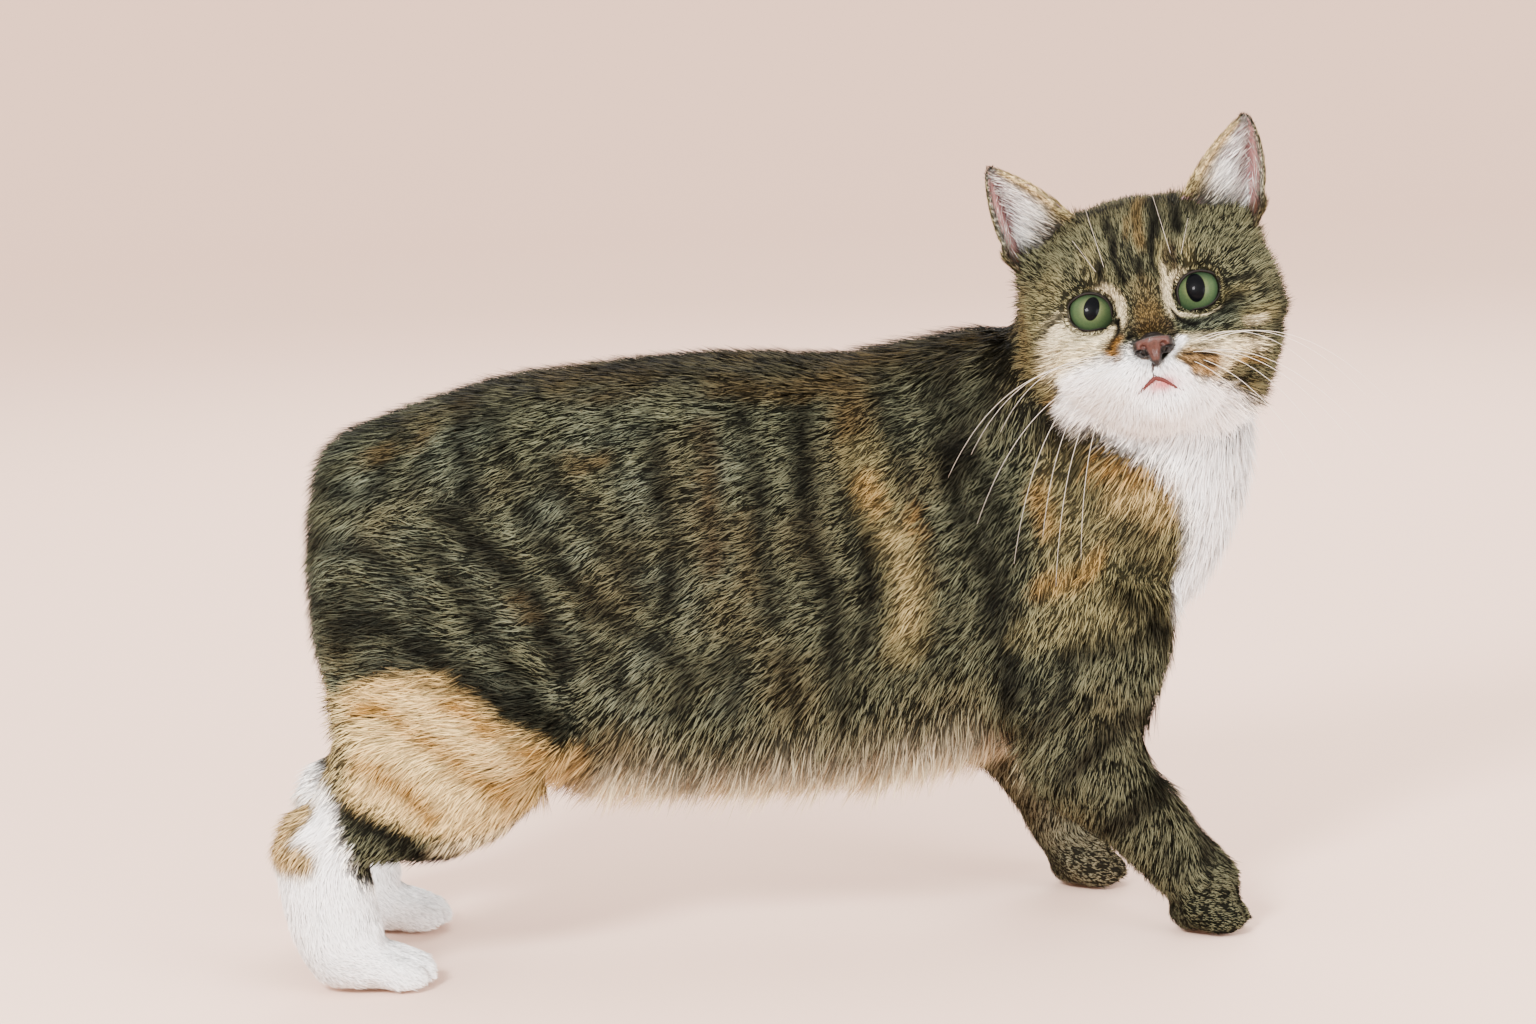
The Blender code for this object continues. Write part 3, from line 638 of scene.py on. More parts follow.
# each stroke: colour, half width, strength, then places along it
bodyStrokes = (
    ("dark", 0.30, 0.75, (-15.1, 22.3), (-15.6, 21.1), (-16.0, 20.0)),
    ("dark", 0.24, 0.60, (-14.0, 21.2), (-14.7, 19.9)),
    ("dark", 0.36, 0.95, (-12.3, 23.4), (-12.6, 21.6), (-12.4, 20.2), (-12.3, 19.4)),
    ("dark", 0.28, 0.75, (-11.2, 22.9), (-11.0, 21.1)),
    ("dark", 0.30, 0.95, (-10.6, 20.4), (-10.2, 19.0), (-9.5, 17.7), (-8.7, 16.4), (-7.6, 15.0),
     (-6.6, 14.0)),
    ("dark", 0.28, 0.85, (-9.3, 21.3), (-9.2, 20.0), (-8.5, 19.2), (-7.7, 18.0), (-6.7, 16.9),
     (-6.0, 15.4)),
    ("dark", 0.44, 0.95, (-13.5, 19.2), (-12.7, 18.3), (-11.4, 17.0), (-10.3, 15.6), (-9.6, 14.0),
     (-8.9, 12.7)),
    ("dark", 0.34, 0.90, (-14.2, 17.9), (-13.5, 16.7), (-12.4, 15.2), (-11.6, 13.5), (-10.5, 11.7)),
    ("dark", 0.32, 0.65, (-16.9, 18.0), (-16.0, 17.4), (-15.2, 16.2), (-14.4, 15.0)),
    ("dark", 0.50, 0.85, (-17.9, 14.6), (-16.3, 14.9), (-14.9, 14.0), (-13.4, 12.9), (-12.0, 11.9),
     (-10.5, 10.9), (-9.3, 10.4)),
    ("dark", 0.34, 0.60, (-17.0, 13.2), (-15.4, 13.3)),
    ("dark", 0.38, 0.85, (-4.9, 21.6), (-4.9, 19.5), (-4.7, 18.0), (-4.6, 16.5), (-4.9, 15.0)),
    ("dark", 0.26, 0.75, (-6.2, 18.8), (-6.2, 17.5), (-5.7, 16.6)),
    ("dark", 0.26, 0.70, (-6.7, 23.2), (-7.0, 21.3), (-6.5, 20.2)),
    ("brown", 0.34, 0.80, (-2.9, 22.0), (-2.8, 20.4), (-3.0, 18.5), (-2.9, 16.4)),
    ("dark", 0.30, 0.90, (-1.4, 22.4), (-1.1, 20.5), (-1.0, 18.9), (-1.1, 17.2), (-0.8, 15.9),
     (-0.7, 14.2)),
    ("dark", 0.34, 0.95, (1.1, 23.0), (0.9, 20.5), (0.9, 18.7), (0.9, 17.1), (1.4, 15.7), (1.7, 14.0),
     (1.6, 12.1)),
    ("dark", 0.30, 0.90, (2.9, 21.9), (2.6, 19.1), (3.2, 16.9), (3.3, 14.8), (3.0, 12.8)),
    ("dark", 0.45, 0.65, (-5.6, 13.6), (-4.3, 12.2), (-4.6, 10.6)),
    ("dark", 0.40, 0.60, (-3.0, 12.4), (-2.2, 13.0), (-2.4, 10.4)),
    ("dark", 0.34, 0.60, (-0.3, 12.8), (0.1, 10.3)),
    ("dark", 0.34, 0.60, (1.8, 11.8), (2.1, 9.6)),
    ("dark", 0.15, 0.95, (-8.5, 14.1), (-7.4, 13.0), (-6.5, 11.2)),
    ("dark", 0.20, 0.85, (4.6, 24.2), (4.5, 22.4), (4.9, 20.4), (5.0, 19.1)),
    ("dark", 0.36, 0.95, (7.2, 24.6), (7.1, 22.8), (7.5, 20.9), (7.7, 19.6)),
    ("dark", 0.24, 0.65, (6.2, 23.7), (6.2, 21.9), (6.5, 19.6)),
    ("brown", 0.18, 0.80, (4.9, 19.0), (5.3, 17.9), (5.8, 16.5), (5.9, 14.8)),
    ("dark", 0.34, 0.95, (6.8, 20.6), (7.0, 18.6), (7.6, 16.9), (8.0, 15.3), (8.3, 13.6), (8.9, 11.6),
     (8.9, 9.9)),
    ("dark", 0.20, 0.90, (8.0, 20.2), (8.2, 18.5), (8.5, 16.5), (8.8, 14.8), (9.1, 13.5)),
    ("dark", 0.17, 0.70, (8.5, 19.3), (9.2, 17.0), (9.6, 15.8)),
    ("dark", 0.36, 0.85, (3.3, 18.9), (3.5, 17.2), (3.2, 16.1), (3.3, 15.0)),
    ("dark", 0.42, 0.75, (9.1, 24.8), (8.7, 23.1), (8.7, 21.6)),
    ("dark", 0.30, 0.70, (10.9, 26.0), (11.3, 23.6), (10.9, 21.0)),
    ("dark", 0.22, 0.60, (5.6, 13.8), (6.0, 11.8)),
    ("rust", 0.75, 0.85, (3.0, 23.6), (3.1, 22.4), (3.2, 20.9)),
    ("tan", 0.74, 0.90, (3.3, 20.4), (3.8, 18.4), (4.4, 17.2), (4.8, 16.0), (4.9, 14.6), (4.7, 12.6)),
    ("cream", 0.34, 0.16, (4.3, 17.4), (4.8, 16.0), (4.9, 14.6), (4.7, 13.4)),
    ("orange", 0.24, 0.40, (3.3, 19.6), (3.9, 18.2)),
    ("orange", 0.14, 0.40, (5.1, 18.2), (5.5, 17.0)),
    ("rust", 0.28, 0.75, (-16.4, 21.2), (-15.4, 21.6)),
    ("rust", 0.26, 0.70, (-13.9, 22.2), (-14.4, 21.6)),
    ("rust", 0.34, 0.80, (-9.2, 24.1), (-7.1, 24.2), (-5.0, 23.9)),
    ("rust", 0.40, 0.80, (-2.3, 23.5), (-0.5, 23.2), (1.0, 23.1), (2.4, 23.4)),
    ("rust", 0.26, 0.70, (-8.5, 21.0), (-8.1, 20.5), (-6.9, 20.9)),
    ("rust", 0.24, 0.60, (-10.9, 15.6), (-10.3, 14.8)),
    ("rust", 0.24, 0.60, (-3.0, 20.0), (-2.8, 19.1)),
    ("rust", 0.24, 0.55, (-1.7, 18.4), (-1.6, 15.2)),
)
shoulderStrokes = (
    ("tan", 1.30, 0.70, (12.0, 18.6), (12.0, 16.8), (11.8, 15.0)),
    ("tan", 0.70, 0.60, (9.7, 12.8), (11.1, 13.0), (12.8, 13.4)),
    ("orange", 0.36, 0.35, (10.4, 18.6), (10.8, 16.9)),
    ("orange", 0.34, 0.40, (10.3, 14.7), (11.8, 14.9), (12.8, 15.8)),
    ("cream", 0.46, 0.40, (13.5, 17.9), (14.7, 17.8), (15.9, 17.2)),
    ("orange", 0.24, 0.75, (12.6, 19.4), (13.6, 19.1), (14.8, 18.8), (16.3, 18.1)),
    ("dark", 0.17, 1.00, (12.5, 20.1), (13.7, 19.85), (15.2, 19.5)),
    ("dark", 0.38, 0.85, (10.5, 21.3), (11.6, 20.2), (12.4, 20.0)),
    ("dark", 0.30, 0.75, (11.6, 19.2), (12.4, 18.2), (12.9, 17.6)),
    ("dark", 0.27, 0.70, (13.4, 16.9), (14.4, 16.4), (15.2, 16.6)),
    ("dark", 0.26, 0.75, (14.1, 15.3), (15.4, 14.9)),
    ("dark", 0.36, 0.95, (13.3, 14.2), (14.6, 13.5), (15.5, 12.4)),
    ("dark", 0.34, 0.95, (15.5, 12.4), (14.1, 12.3), (12.3, 12.1), (10.7, 11.8)),
    ("dark", 0.30, 0.75, (9.5, 11.1), (9.9, 10.4)),
    ("dark", 0.30, 0.80, (11.1, 11.0), (10.4, 9.7), (9.5, 8.6)),
    ("dark", 0.20, 0.55, (11.8, 9.9), (10.6, 9.0)),
    ("dark", 0.36, 0.95, (15.6, 9.1), (13.7, 9.1), (12.0, 8.1), (10.8, 7.0)),
    ("dark", 0.24, 0.85, (16.2, 8.4), (15.6, 7.7)),
    ("dark", 0.46, 0.95, (16.2, 7.2), (15.4, 6.5), (14.1, 5.7), (12.7, 4.7)),
    ("dark", 0.30, 0.90, (17.0, 5.2), (16.8, 4.1), (16.6, 3.2)),
    ("dark", 0.20, 0.60, (14.9, 3.6), (15.4, 2.8)),
)
thighStrokes = (
    ("orange", 0.30, 1.00, (-17.3, 11.5), (-16.4, 11.7), (-15.5, 10.9), (-14.3, 9.8), (-13.3, 9.0),
     (-12.5, 8.3), (-11.6, 8.0)),
    ("orange", 0.28, 0.95, (-12.5, 8.3), (-11.5, 7.5)),
    ("orange", 0.30, 1.00, (-17.4, 9.5), (-16.2, 8.7), (-15.4, 8.0), (-14.6, 7.1)),
    ("orange", 0.28, 1.00, (-13.8, 11.7), (-12.9, 11.0), (-12.2, 10.4)),
    ("orange", 0.26, 0.90, (-11.2, 9.8), (-10.3, 9.2), (-10.9, 8.5)),
    ("ginger", 0.19, 0.75, (-16.4, 11.6), (-15.5, 10.9), (-14.3, 9.8), (-13.3, 9.0), (-12.3, 8.3)),
    ("ginger", 0.19, 0.75, (-16.6, 9.0), (-15.4, 8.0), (-14.8, 7.4)),
    ("ginger", 0.16, 0.60, (-13.6, 11.5), (-12.7, 10.9)),
    ("bronze", 0.22, 0.70, (-14.9, 12.4), (-13.8, 12.0)),
)
lowLegStrokes = (
    ("dark", 0.36, 1.00, (-18.2, 7.7), (-17.1, 6.9), (-15.6, 5.9), (-14.8, 5.1), (-13.8, 5.2)),
    ("dark", 0.22, 0.60, (-16.6, 5.2), (-15.6, 4.9)),
)

edges = {
    # the line where the belly turns pale, the bib's back edge, the top and foot of the pale thigh patch,
    # the front edge of the white hock, and the top of the white jaw across the face
    "belly": ((-11.5, 6.6), (-9.2, 8.2), (-7.2, 9.6), (-4.2, 8.5), (-2.1, 8.8), (2.1, 8.7), (4.2, 9.0),
              (7.2, 9.2), (9, 9)),
    "bib": ((9.0, 17.5), (12.2, 16.6), (13.4, 16.0), (14.4, 16.4), (15.1, 16.7), (16.6, 16.8), (18.2, 16.2),
            (19.4, 15.2), (20.4, 13.2), (21.6, 12.4), (30.0, 12.0)),
    "patchTop": ((-19.0, 11.4), (-17.4, 12.3), (-16.0, 12.7), (-14.3, 12.7), (-13.0, 11.8), (-12.0, 10.7),
                 (-10.8, 10.1), (-9.6, 9.4), (-8.6, 8.6)),
    "patchFoot": ((-19.0, 8.4), (-18.2, 8.1), (-16.8, 7.4), (-15.5, 6.7), (-14.2, 6.1), (-12.8, 5.9),
                  (-11.4, 6.4), (-9.4, 7.6)),
    "whiteHock": ((0.0, -16.2), (3.0, -17.0), (4.6, -17.8), (6.2, -18.4), (7.7, -18.7), (9.0, -19.3)),
    "jaw": ((-5.0, -5.2), (-4.4, -3.6), (-3.9, -2.7), (-3.0, -2.6), (-2.2, -2.6), (-1.0, -2.7), (0, -2.9),
            (0.8, -3.1), (1.4, -3.9), (2.3, -4.0), (3.0, -4.1), (4.0, -4.7), (5.0, -5.6)),
}


def alongLine(name, value):
    line = np.array(edges[name])
    return np.interp(value, line[:, 0], line[:, 1])


def nearLine(points, places, halfWidth, softness=0.55):
    # 1 on the line through the places, 0 beyond its width, for points of 2 or 3 numbers
    best = np.full(len(points), 1e9)
    places = np.array(places, float)
    lines = list(zip(places, places[1:])) if len(places) > 1 else [(places[0], places[0])]
    for a, b in lines:
        run = b - a
        t = np.clip(((points - a) @ run) / max(run @ run, 1e-9), 0, 1)
        best = np.minimum(best, np.linalg.norm(points - a - t[:, None] * run, axis=1))
    return 1 - smoothStep(halfWidth * (1 - softness), halfWidth * (1 + softness), best)


class Paint:
    # colour and agouti contrast of each point, laid on stroke by stroke
    def __init__(self, count, key):
        self.tone = np.tile(palette[key], (count, 1))
        self.tick = np.full(count, agouti[key])

    def lay(self, key, mask):
        mask = np.clip(mask, 0, 1)
        self.tone = self.tone * (1 - mask[:, None]) + palette[key] * mask[:, None]
        self.tick = self.tick * (1 - mask) + agouti[key] * mask

    def draw(self, strokes, points, share, softness=0.6, widening=1.0, **softer):
        for colour, halfWidth, strength, *places in strokes:
            mask = nearLine(points, places, halfWidth * widening, softer.get(colour, softness))
            self.lay(colour, mask * strength * share)


barSpacing = 1.28


def paintBody(paint, points, trunk, under, nape):
    # points in centimetres from the body's own middle
    near = points[:, 1] < 0
    x = points[:, 0] + np.where(near, 0, 0.7 + 0.5 * np.sin(points[:, 2] * 0.8))
    z = points[:, 2] + np.where(near, 0, 0.3 * np.sin(points[:, 0] * 0.9))
    # slow and fine unevenness, which bends and breaks the edges
    wobble = roughness3d(points, 1.6, 4)
    ragged = roughness3d(points, 0.55, 5)
    plane = np.stack((x + 0.16 * ragged + 0.10 * wobble, z + 0.14 * ragged), 1)
    paint.lay("tabbyGrey", smoothStep(-0.3, 0.5, wobble) * smoothStep(0, -3, x) * 0.8)
    paint.lay("tabbyWarm", smoothStep(0.0, 0.7, roughness3d(points, 3.1, 6)) * 0.75)
    shoulder = smoothStep(9.6, 11.4, x) * between(z, 11.0, 13.5, 19.5, 22.0)
    paint.lay("tan", shoulder * 0.62)
    # narrow broken bars between the main ones
    lean = 0.28 * np.clip(z - 17, -8, 8) * smoothStep(-2, -12, x)
    wave = np.sin((plane[:, 0] + lean + 0.35 * wobble) * 2 * math.pi / barSpacing + 1.2 * ragged)
    onFlank = smoothStep(9.5, 11.5, z) * (1 - smoothStep(9.0, 11.0, x))
    paint.lay("dark", smoothStep(0.25, 0.95, wave) * onFlank * (0.30 + 0.35 * ragged))
    paint.draw(bodyStrokes, plane, 0.92 + 0.35 * ragged, 0.5, 1.10)
    # the dark back, brown where it catches the light
    top = smoothStep(22.3, 24.4, z + 0.35 * wobble) * (1 - smoothStep(10.5, 13.0, x))
    paint.lay("back", top * 0.80)
    paint.lay("dark", top * smoothStep(-0.1, 0.5, ragged) * 0.75)
    paint.lay("rust", top * smoothStep(0.1, 0.5, wobble) * 0.5)
    rear = smoothStep(-15.2, -17.6, x) * smoothStep(13.0, 15.0, z)
    paint.lay("dark", rear * smoothStep(0.0, 0.6, np.sin(z * 2.9 + 1.4 * wobble)) * 0.55)
    paint.draw(shoulderStrokes, plane, 0.88 + 0.25 * ragged)
    # belly and fringe
    behind = smoothStep(-12.0, -10.0, x)
    above = z - alongLine("belly", x)
    belly = trunk * smoothStep(1.3, -0.9, above + 0.9 * ragged) * behind * (1 - smoothStep(8.5, 10.0, x))
    paint.lay("fringe", belly * 0.9)
    paint.lay("greyWhite", trunk * smoothStep(-0.1, -1.2, above + 0.7 * ragged) * behind * (x < 9.5) * 0.8)
    paint.lay("paleCream", trunk * under * smoothStep(-0.8, -2.2, above) * behind * (x < 14))
    paint.lay("rust", belly * nearLine(plane, ((-8.4, 9.6), (-6.6, 9.0)), 0.9) * 0.7)
    # the bib
    bib = smoothStep(-0.35, 0.25, x - alongLine("bib", z) - 0.12 * ragged) * smoothStep(7.6, 9.6, z)
    bib *= 1 - smoothStep(17.8, 19.8, z) * smoothStep(1.0, 2.6, points[:, 1])
    paint.lay("white", bib * (1 - nape))
    return plane


hockSpots = ((((-19.7, 7.7), (-20.5, 6.8)), 0.45), (((-20.8, 5.8), (-19.9, 5.6)), 0.72))


def paintLegs(paint, plane, points, inside, hindShare, foreShare):
    near = points[:, 1] < 0
    x, z = plane[:, 0], plane[:, 1]
    ragged = roughness3d(points, 0.5, 7)
    paint.lay("greyWhite", inside * (foreShare * 0.12 + hindShare * 0.75))
    behind = smoothStep(-8.0, -9.4, x)
    patch = smoothStep(0.35, -0.25, z - alongLine("patchTop", x) + 0.22 * ragged) * behind
    patch *= smoothStep(-0.25, 0.35, z - alongLine("patchFoot", x) - 0.18 * ragged)
    outer = 1 - inside * 0.5
    rim = smoothStep(0.9, 0.1, np.abs(z - alongLine("patchTop", x))) * 0.40
    paint.lay("cream", patch * outer * 0.97)
    paint.lay("orange", patch * outer * rim)
    paint.draw(thighStrokes, plane, patch * (1 + 0.3 * ragged))
    # the dark streak down the thigh's rear edge
    streak = nearLine(plane, ((-18.6, 12.4), (-18.2, 10.2), (-18.4, 8.8)), 0.7)
    paint.lay("tabbyGrey", streak * hindShare * 0.8)
    under = smoothStep(0.4, -0.2, z - alongLine("patchFoot", x)) * smoothStep(3.2, 4.2, z)
    under *= behind * hindShare
    paint.lay("tabby", under * 0.9)
    paint.lay("paleCream", under * nearLine(plane, ((-14.0, 5.0), (-11.0, 6.0)), 0.9) * 0.6)
    paint.draw(lowLegStrokes, plane, hindShare)
    # white hock and foot, with two tan spots behind
    edge = alongLine("whiteHock", z)
    white = smoothStep(0.22, -0.22, x - edge + 0.12 * ragged) * smoothStep(8.8, 8.0, z)
    white = np.maximum(white, smoothStep(4.6, 3.8, z + 0.2 * ragged)) * hindShare
    paint.lay("white", white)
    for places, reach in hockSpots:
        spot = nearLine(plane, places, reach, 0.35) * hindShare * np.where(near, 0.95, 0.5)
        for colour, strength in (("tan", 1), ("cream", 0.45), ("orange", 0.35)):
            paint.lay(colour, spot * strength)


faceStrokes = (
    # colour, half width, strength, then places out, to the cat's left and up, from between the eyes
    ("tan", 1.10, 0.65, (-1.4, -3.6, 1.0), (-1.2, -4.2, -0.6), (-1.4, -4.4, -2.0)),
    ("bronze", 0.46, 0.55, (-3.3, -4.6, 1.7), (-2.0, -5.0, 0.45), (-1.2, -5.06, -0.74), (-1.5, -5.3, -1.9)),
    ("tan", 0.90, 0.80, (-1.1, -4.7, -2.2), (-1.2, -4.2, -3.3), (-0.9, -3.2, -4.3)),
    ("orange", 0.30, 0.35, (-1.38, -4.4, -3.2), (-1.5, -4.07, -3.7), (-1.4, -3.7, -3.9)),
    ("paleCream", 1.00, 0.95, (0.9, -2.5, -1.9), (0.5, -3.3, -2.0)),
    ("paleCream", 0.66, 0.92, (0.0, -3.4, -0.7), (0.6, -2.4, -1.2)),
    ("paleCream", 0.34, 0.60, (0.0, -3.67, -0.48), (-0.13, -4.06, -1.33), (-0.36, -4.26, -2.0)),
    ("tan", 0.12, 0.90, (0.34, -3.25, -1.1), (0.63, -2.23, -1.26)),
    ("tan", 0.12, 0.90, (1.56, -2.77, -2.14), (1.9, -1.95, -2.26)),
    ("tan", 0.14, 0.90, (0.49, -3.62, -1.95), (1.2, -3.1, -2.3)),
    ("dark", 0.15, 0.95, (-0.46, -3.01, 0.08), (-0.14, -3.58, 0.06), (-0.29, -4.06, -0.24),
     (-0.38, -4.41, -0.9), (-0.7, -4.71, -1.64)),
    ("tan", 0.42, 0.55, (-0.6, -1.84, 2.56), (-0.1, -1.88, 1.72), (0.05, -1.68, 1.12)),
    ("tan", 0.28, 0.90, (-0.14, 1.17, 2.05), (0.2, 1.03, 1.05)),
    ("tan", 0.26, 0.90, (-0.2, 2.02, 1.88), (0.04, 2.1, 1.18)),
    ("dark", 0.15, 1.00, (-0.15, -1.43, 1.91), (0.07, -1.54, 0.93)),
    ("dark", 0.15, 1.00, (-0.25, -0.79, 2.48), (0.09, -0.85, 1.58), (0.7, -0.57, 0.77)),
    ("dark", 0.17, 0.90, (0.4, -0.32, 1.3), (0.15, 0.11, 1.68), (0.83, 0.07, 0.82)),
    ("dark", 0.13, 0.95, (-0.63, 0.93, 3.05), (-0.09, 0.72, 2.13), (0.42, 0.58, 1.11)),
    ("brown", 0.10, 0.90, (-0.15, 1.22, 2.04), (0.16, 1.11, 1.04)),
    ("brown", 0.15, 1.00, (-0.19, 1.47, 1.99), (0.07, 1.45, 0.99)),
    ("dark", 0.26, 0.85, (-3.0, -1.9, 4.3), (-2.2, -1.26, 4.31), (-1.83, -0.18, 4.28)),
    ("dark", 0.18, 0.85, (-1.28, -0.89, 3.78), (-0.52, -0.71, 2.95), (-0.18, -0.71, 2.35)),
    ("dark", 0.12, 0.70, (-0.38, -0.21, 2.81), (0.05, -0.27, 1.89)),
    ("dark", 0.26, 0.90, (-2.37, 1.05, 4.44), (-0.82, 1.08, 3.27), (-0.31, 0.9, 2.56)),
    ("dark", 0.26, 0.90, (-2.6, 1.9, 4.3), (-1.28, 1.93, 3.39), (-0.64, 1.85, 2.64)),
    ("dark", 0.30, 0.70, (-2.7, 2.7, 4.0), (-1.88, 2.62, 3.47)),
    ("bronze", 0.20, 0.90, (-2.4, 0.66, 4.5), (-1.1, 0.36, 3.69), (-0.31, 0.3, 2.69), (-0.09, 0.31, 2.22)),
    ("bronze", 0.14, 0.60, (-0.89, 0.02, 3.51), (-0.38, -0.21, 2.81)),
    ("paleCream", 0.12, 0.60, (0.15, 1.02, 1.10), (0.30, 1.0, 0.60)),
    ("paleCream", 0.24, 0.80, (0.46, 1.04, 0.22), (0.48, 1.07, 0.0), (0.69, 1.00, -0.51)),
    ("paleCream", 0.14, 0.60, (0.09, -1.50, 0.80), (0.28, -1.16, 0.22), (0.5, -1.05, -0.27)),
    ("paleCream", 0.11, 0.95, (0.0, -2.97, -0.72), (0.12, -2.29, -1.0), (0.30, -1.60, -0.92)),
    ("paleCream", 0.13, 0.60, (0.6, 1.50, -1.00), (0.33, 2.06, -1.08), (0.15, 2.75, -0.91)),
    ("tan", 0.26, 0.85, (0.09, 3.13, -0.43), (-0.27, 4.08, -0.31)),
    ("tabbyGrey", 0.50, 0.90, (1.42, 1.68, -1.57), (1.35, 2.52, -1.47), (0.5, 3.27, -1.28)),
    ("dark", 0.18, 0.75, (1.42, 1.68, -1.47), (1.30, 2.52, -1.42), (0.5, 3.27, -1.25)),
    ("dark", 0.26, 0.85, (0.41, 2.8, -1.05), (0.07, 3.5, -0.61), (-0.07, 3.83, -0.55)),
    ("dark", 0.16, 0.80, (2.07, 1.58, -2.13), (1.68, 2.22, -1.99)),
    ("dark", 0.13, 1.00, (-0.1, 3.40, 0.20), (-0.2, 3.56, 0.2), (-0.67, 4.37, 0.11), (-0.9, 4.85, -0.62)),
    ("tan", 0.36, 0.90, (0.16, 3.72, -1.63), (-0.77, 4.8, -1.38)),
    ("paleCream", 0.16, 0.60, (0.0, 3.9, -1.70), (-0.5, 4.5, -1.60)),
    ("paleCream", 0.30, 0.75, (1.43, 2.87, -2.75), (-0.7, 4.33, -2.67)),
    ("dark", 0.10, 1.00, (1.0, 3.19, -2.22), (-0.15, 3.9, -2.22), (-0.66, 4.53, -2.19)),
    ("tan", 0.30, 0.80, (0.6, 3.3, -3.2), (-1.05, 4.21, -3.23)),
    ("orange", 0.16, 0.45, (0.6, 3.3, -3.2), (-1.05, 4.21, -3.23)),
    ("tan", 0.28, 0.80, (-1.26, 3.01, -4.01), (-1.68, 3.74, -3.99)),
    ("dark", 0.30, 0.60, (-1.72, 5.22, -0.34), (-1.6, 5.28, -1.34), (-1.16, 4.87, -2.29)),
    ("bronze", 0.55, 0.50, (1.0, 0.10, 0.30), (1.85, 0.12, -0.70)),
    ("bronze", 0.62, 0.95, (1.85, 0.12, -0.80), (2.3, 0.08, -1.35), (2.7, 0.0, -1.65)),
    ("brown", 0.26, 0.60, (2.0, -0.85, -1.25), (2.5, 0.0, -1.55), (2.0, 0.85, -1.25)),
    ("brown", 0.20, 0.60, (1.6, -0.89, -1.01), (1.25, -1.17, -1.31)),
    ("brown", 0.18, 0.85, (1.8, 0.95, -1.25), (2.0, 0.89, -1.44), (2.18, 0.80, -1.87)),
    ("dark", 0.16, 0.95, (2.01, -0.95, -1.62), (2.75, -0.10, -1.80), (2.18, 0.86, -1.95)),
)
muzzleStrokes = (
    ("white", 0.90, 1.00, (2.0, -0.9, -3.1), (1.2, -2.4, -3.2), (0.2, -3.4, -3.4)),
    ("paleCream", 0.40, 0.85, (1.9, -1.2, -2.6), (1.7, -1.6, -2.5)),
    ("paleCream", 0.80, 0.85, (2.2, 1.5, -2.9), (1.5, 2.4, -3.2)),
    ("ginger", 0.58, 0.90, (2.45, 1.30, -3.15), (1.75, 2.15, -3.3)),
    ("white", 0.22, 1.00, (2.55, 0.62, -2.60), (2.3, 1.16, -2.19)),
    ("white", 0.26, 0.90, (2.5, 0.45, -3.0), (2.4, 0.60, -3.3)),
    ("dark", 0.10, 0.95, (2.50, 1.20, -2.90), (2.36, 1.74, -2.89), (1.75, 2.31, -3.07)),
    ("dark", 0.10, 0.90, (2.50, 1.10, -3.25), (2.31, 1.66, -3.28), (1.58, 2.24, -3.39)),
    ("brown", 0.095, 0.85, (2.24, 1.18, -3.64), (1.27, 2.06, -3.73)),
    ("dark", 0.090, 0.85, (2.46, 1.41, -2.52), (2.0, 2.1, -2.6)),
    ("ginger", 0.36, 1.00, (1.5, -1.44, -1.66), (1.73, -1.66, -1.95), (2.3, -1.55, -2.50)),
    ("dark", 0.09, 1.00, (2.30, -1.60, -2.42), (2.17, -1.63, -2.26)),
    ("dark", 0.08, 0.90, (1.73, -1.71, -1.91), (1.80, -1.74, -1.97)),
    ("dark", 0.06, 0.70, (2.51, -1.41, -2.73), (2.5, -1.44, -2.78)),
    ("dark", 0.15, 1.00, (0.35, -1.30, -0.56), (1.05, -1.25, -1.15), (1.41, -1.53, -1.58),
     (1.70, -1.72, -1.85)),
    ("dark", 0.17, 1.00, (0.85, 1.00, -0.80), (1.12, 1.20, -1.15), (1.44, 1.68, -1.56)),
    ("dark", 0.07, 0.80, (2.30, 0.25, -3.05), (2.28, 0.35, -3.25)),
    # a fine dark line down the parting under the nose: painted shade of the cleft
    ("dark", 0.045, 0.80, (2.45, -0.17, -3.00), (2.25, -0.20, -3.50)),
)


eyeCorners = (
    # the dark inner corners
    ("dark", 0.15, 0.95, (0.40, -1.28, -0.60), (1.05, -1.25, -1.15), (1.41, -1.53, -1.58),
     (1.70, -1.72, -1.85)),
    ("dark", 0.16, 0.95, (0.70, 1.02, -0.72), (1.12, 1.22, -1.15), (1.44, 1.68, -1.56)),
)


chinPlace = (2.3, 0.05, -3.84)


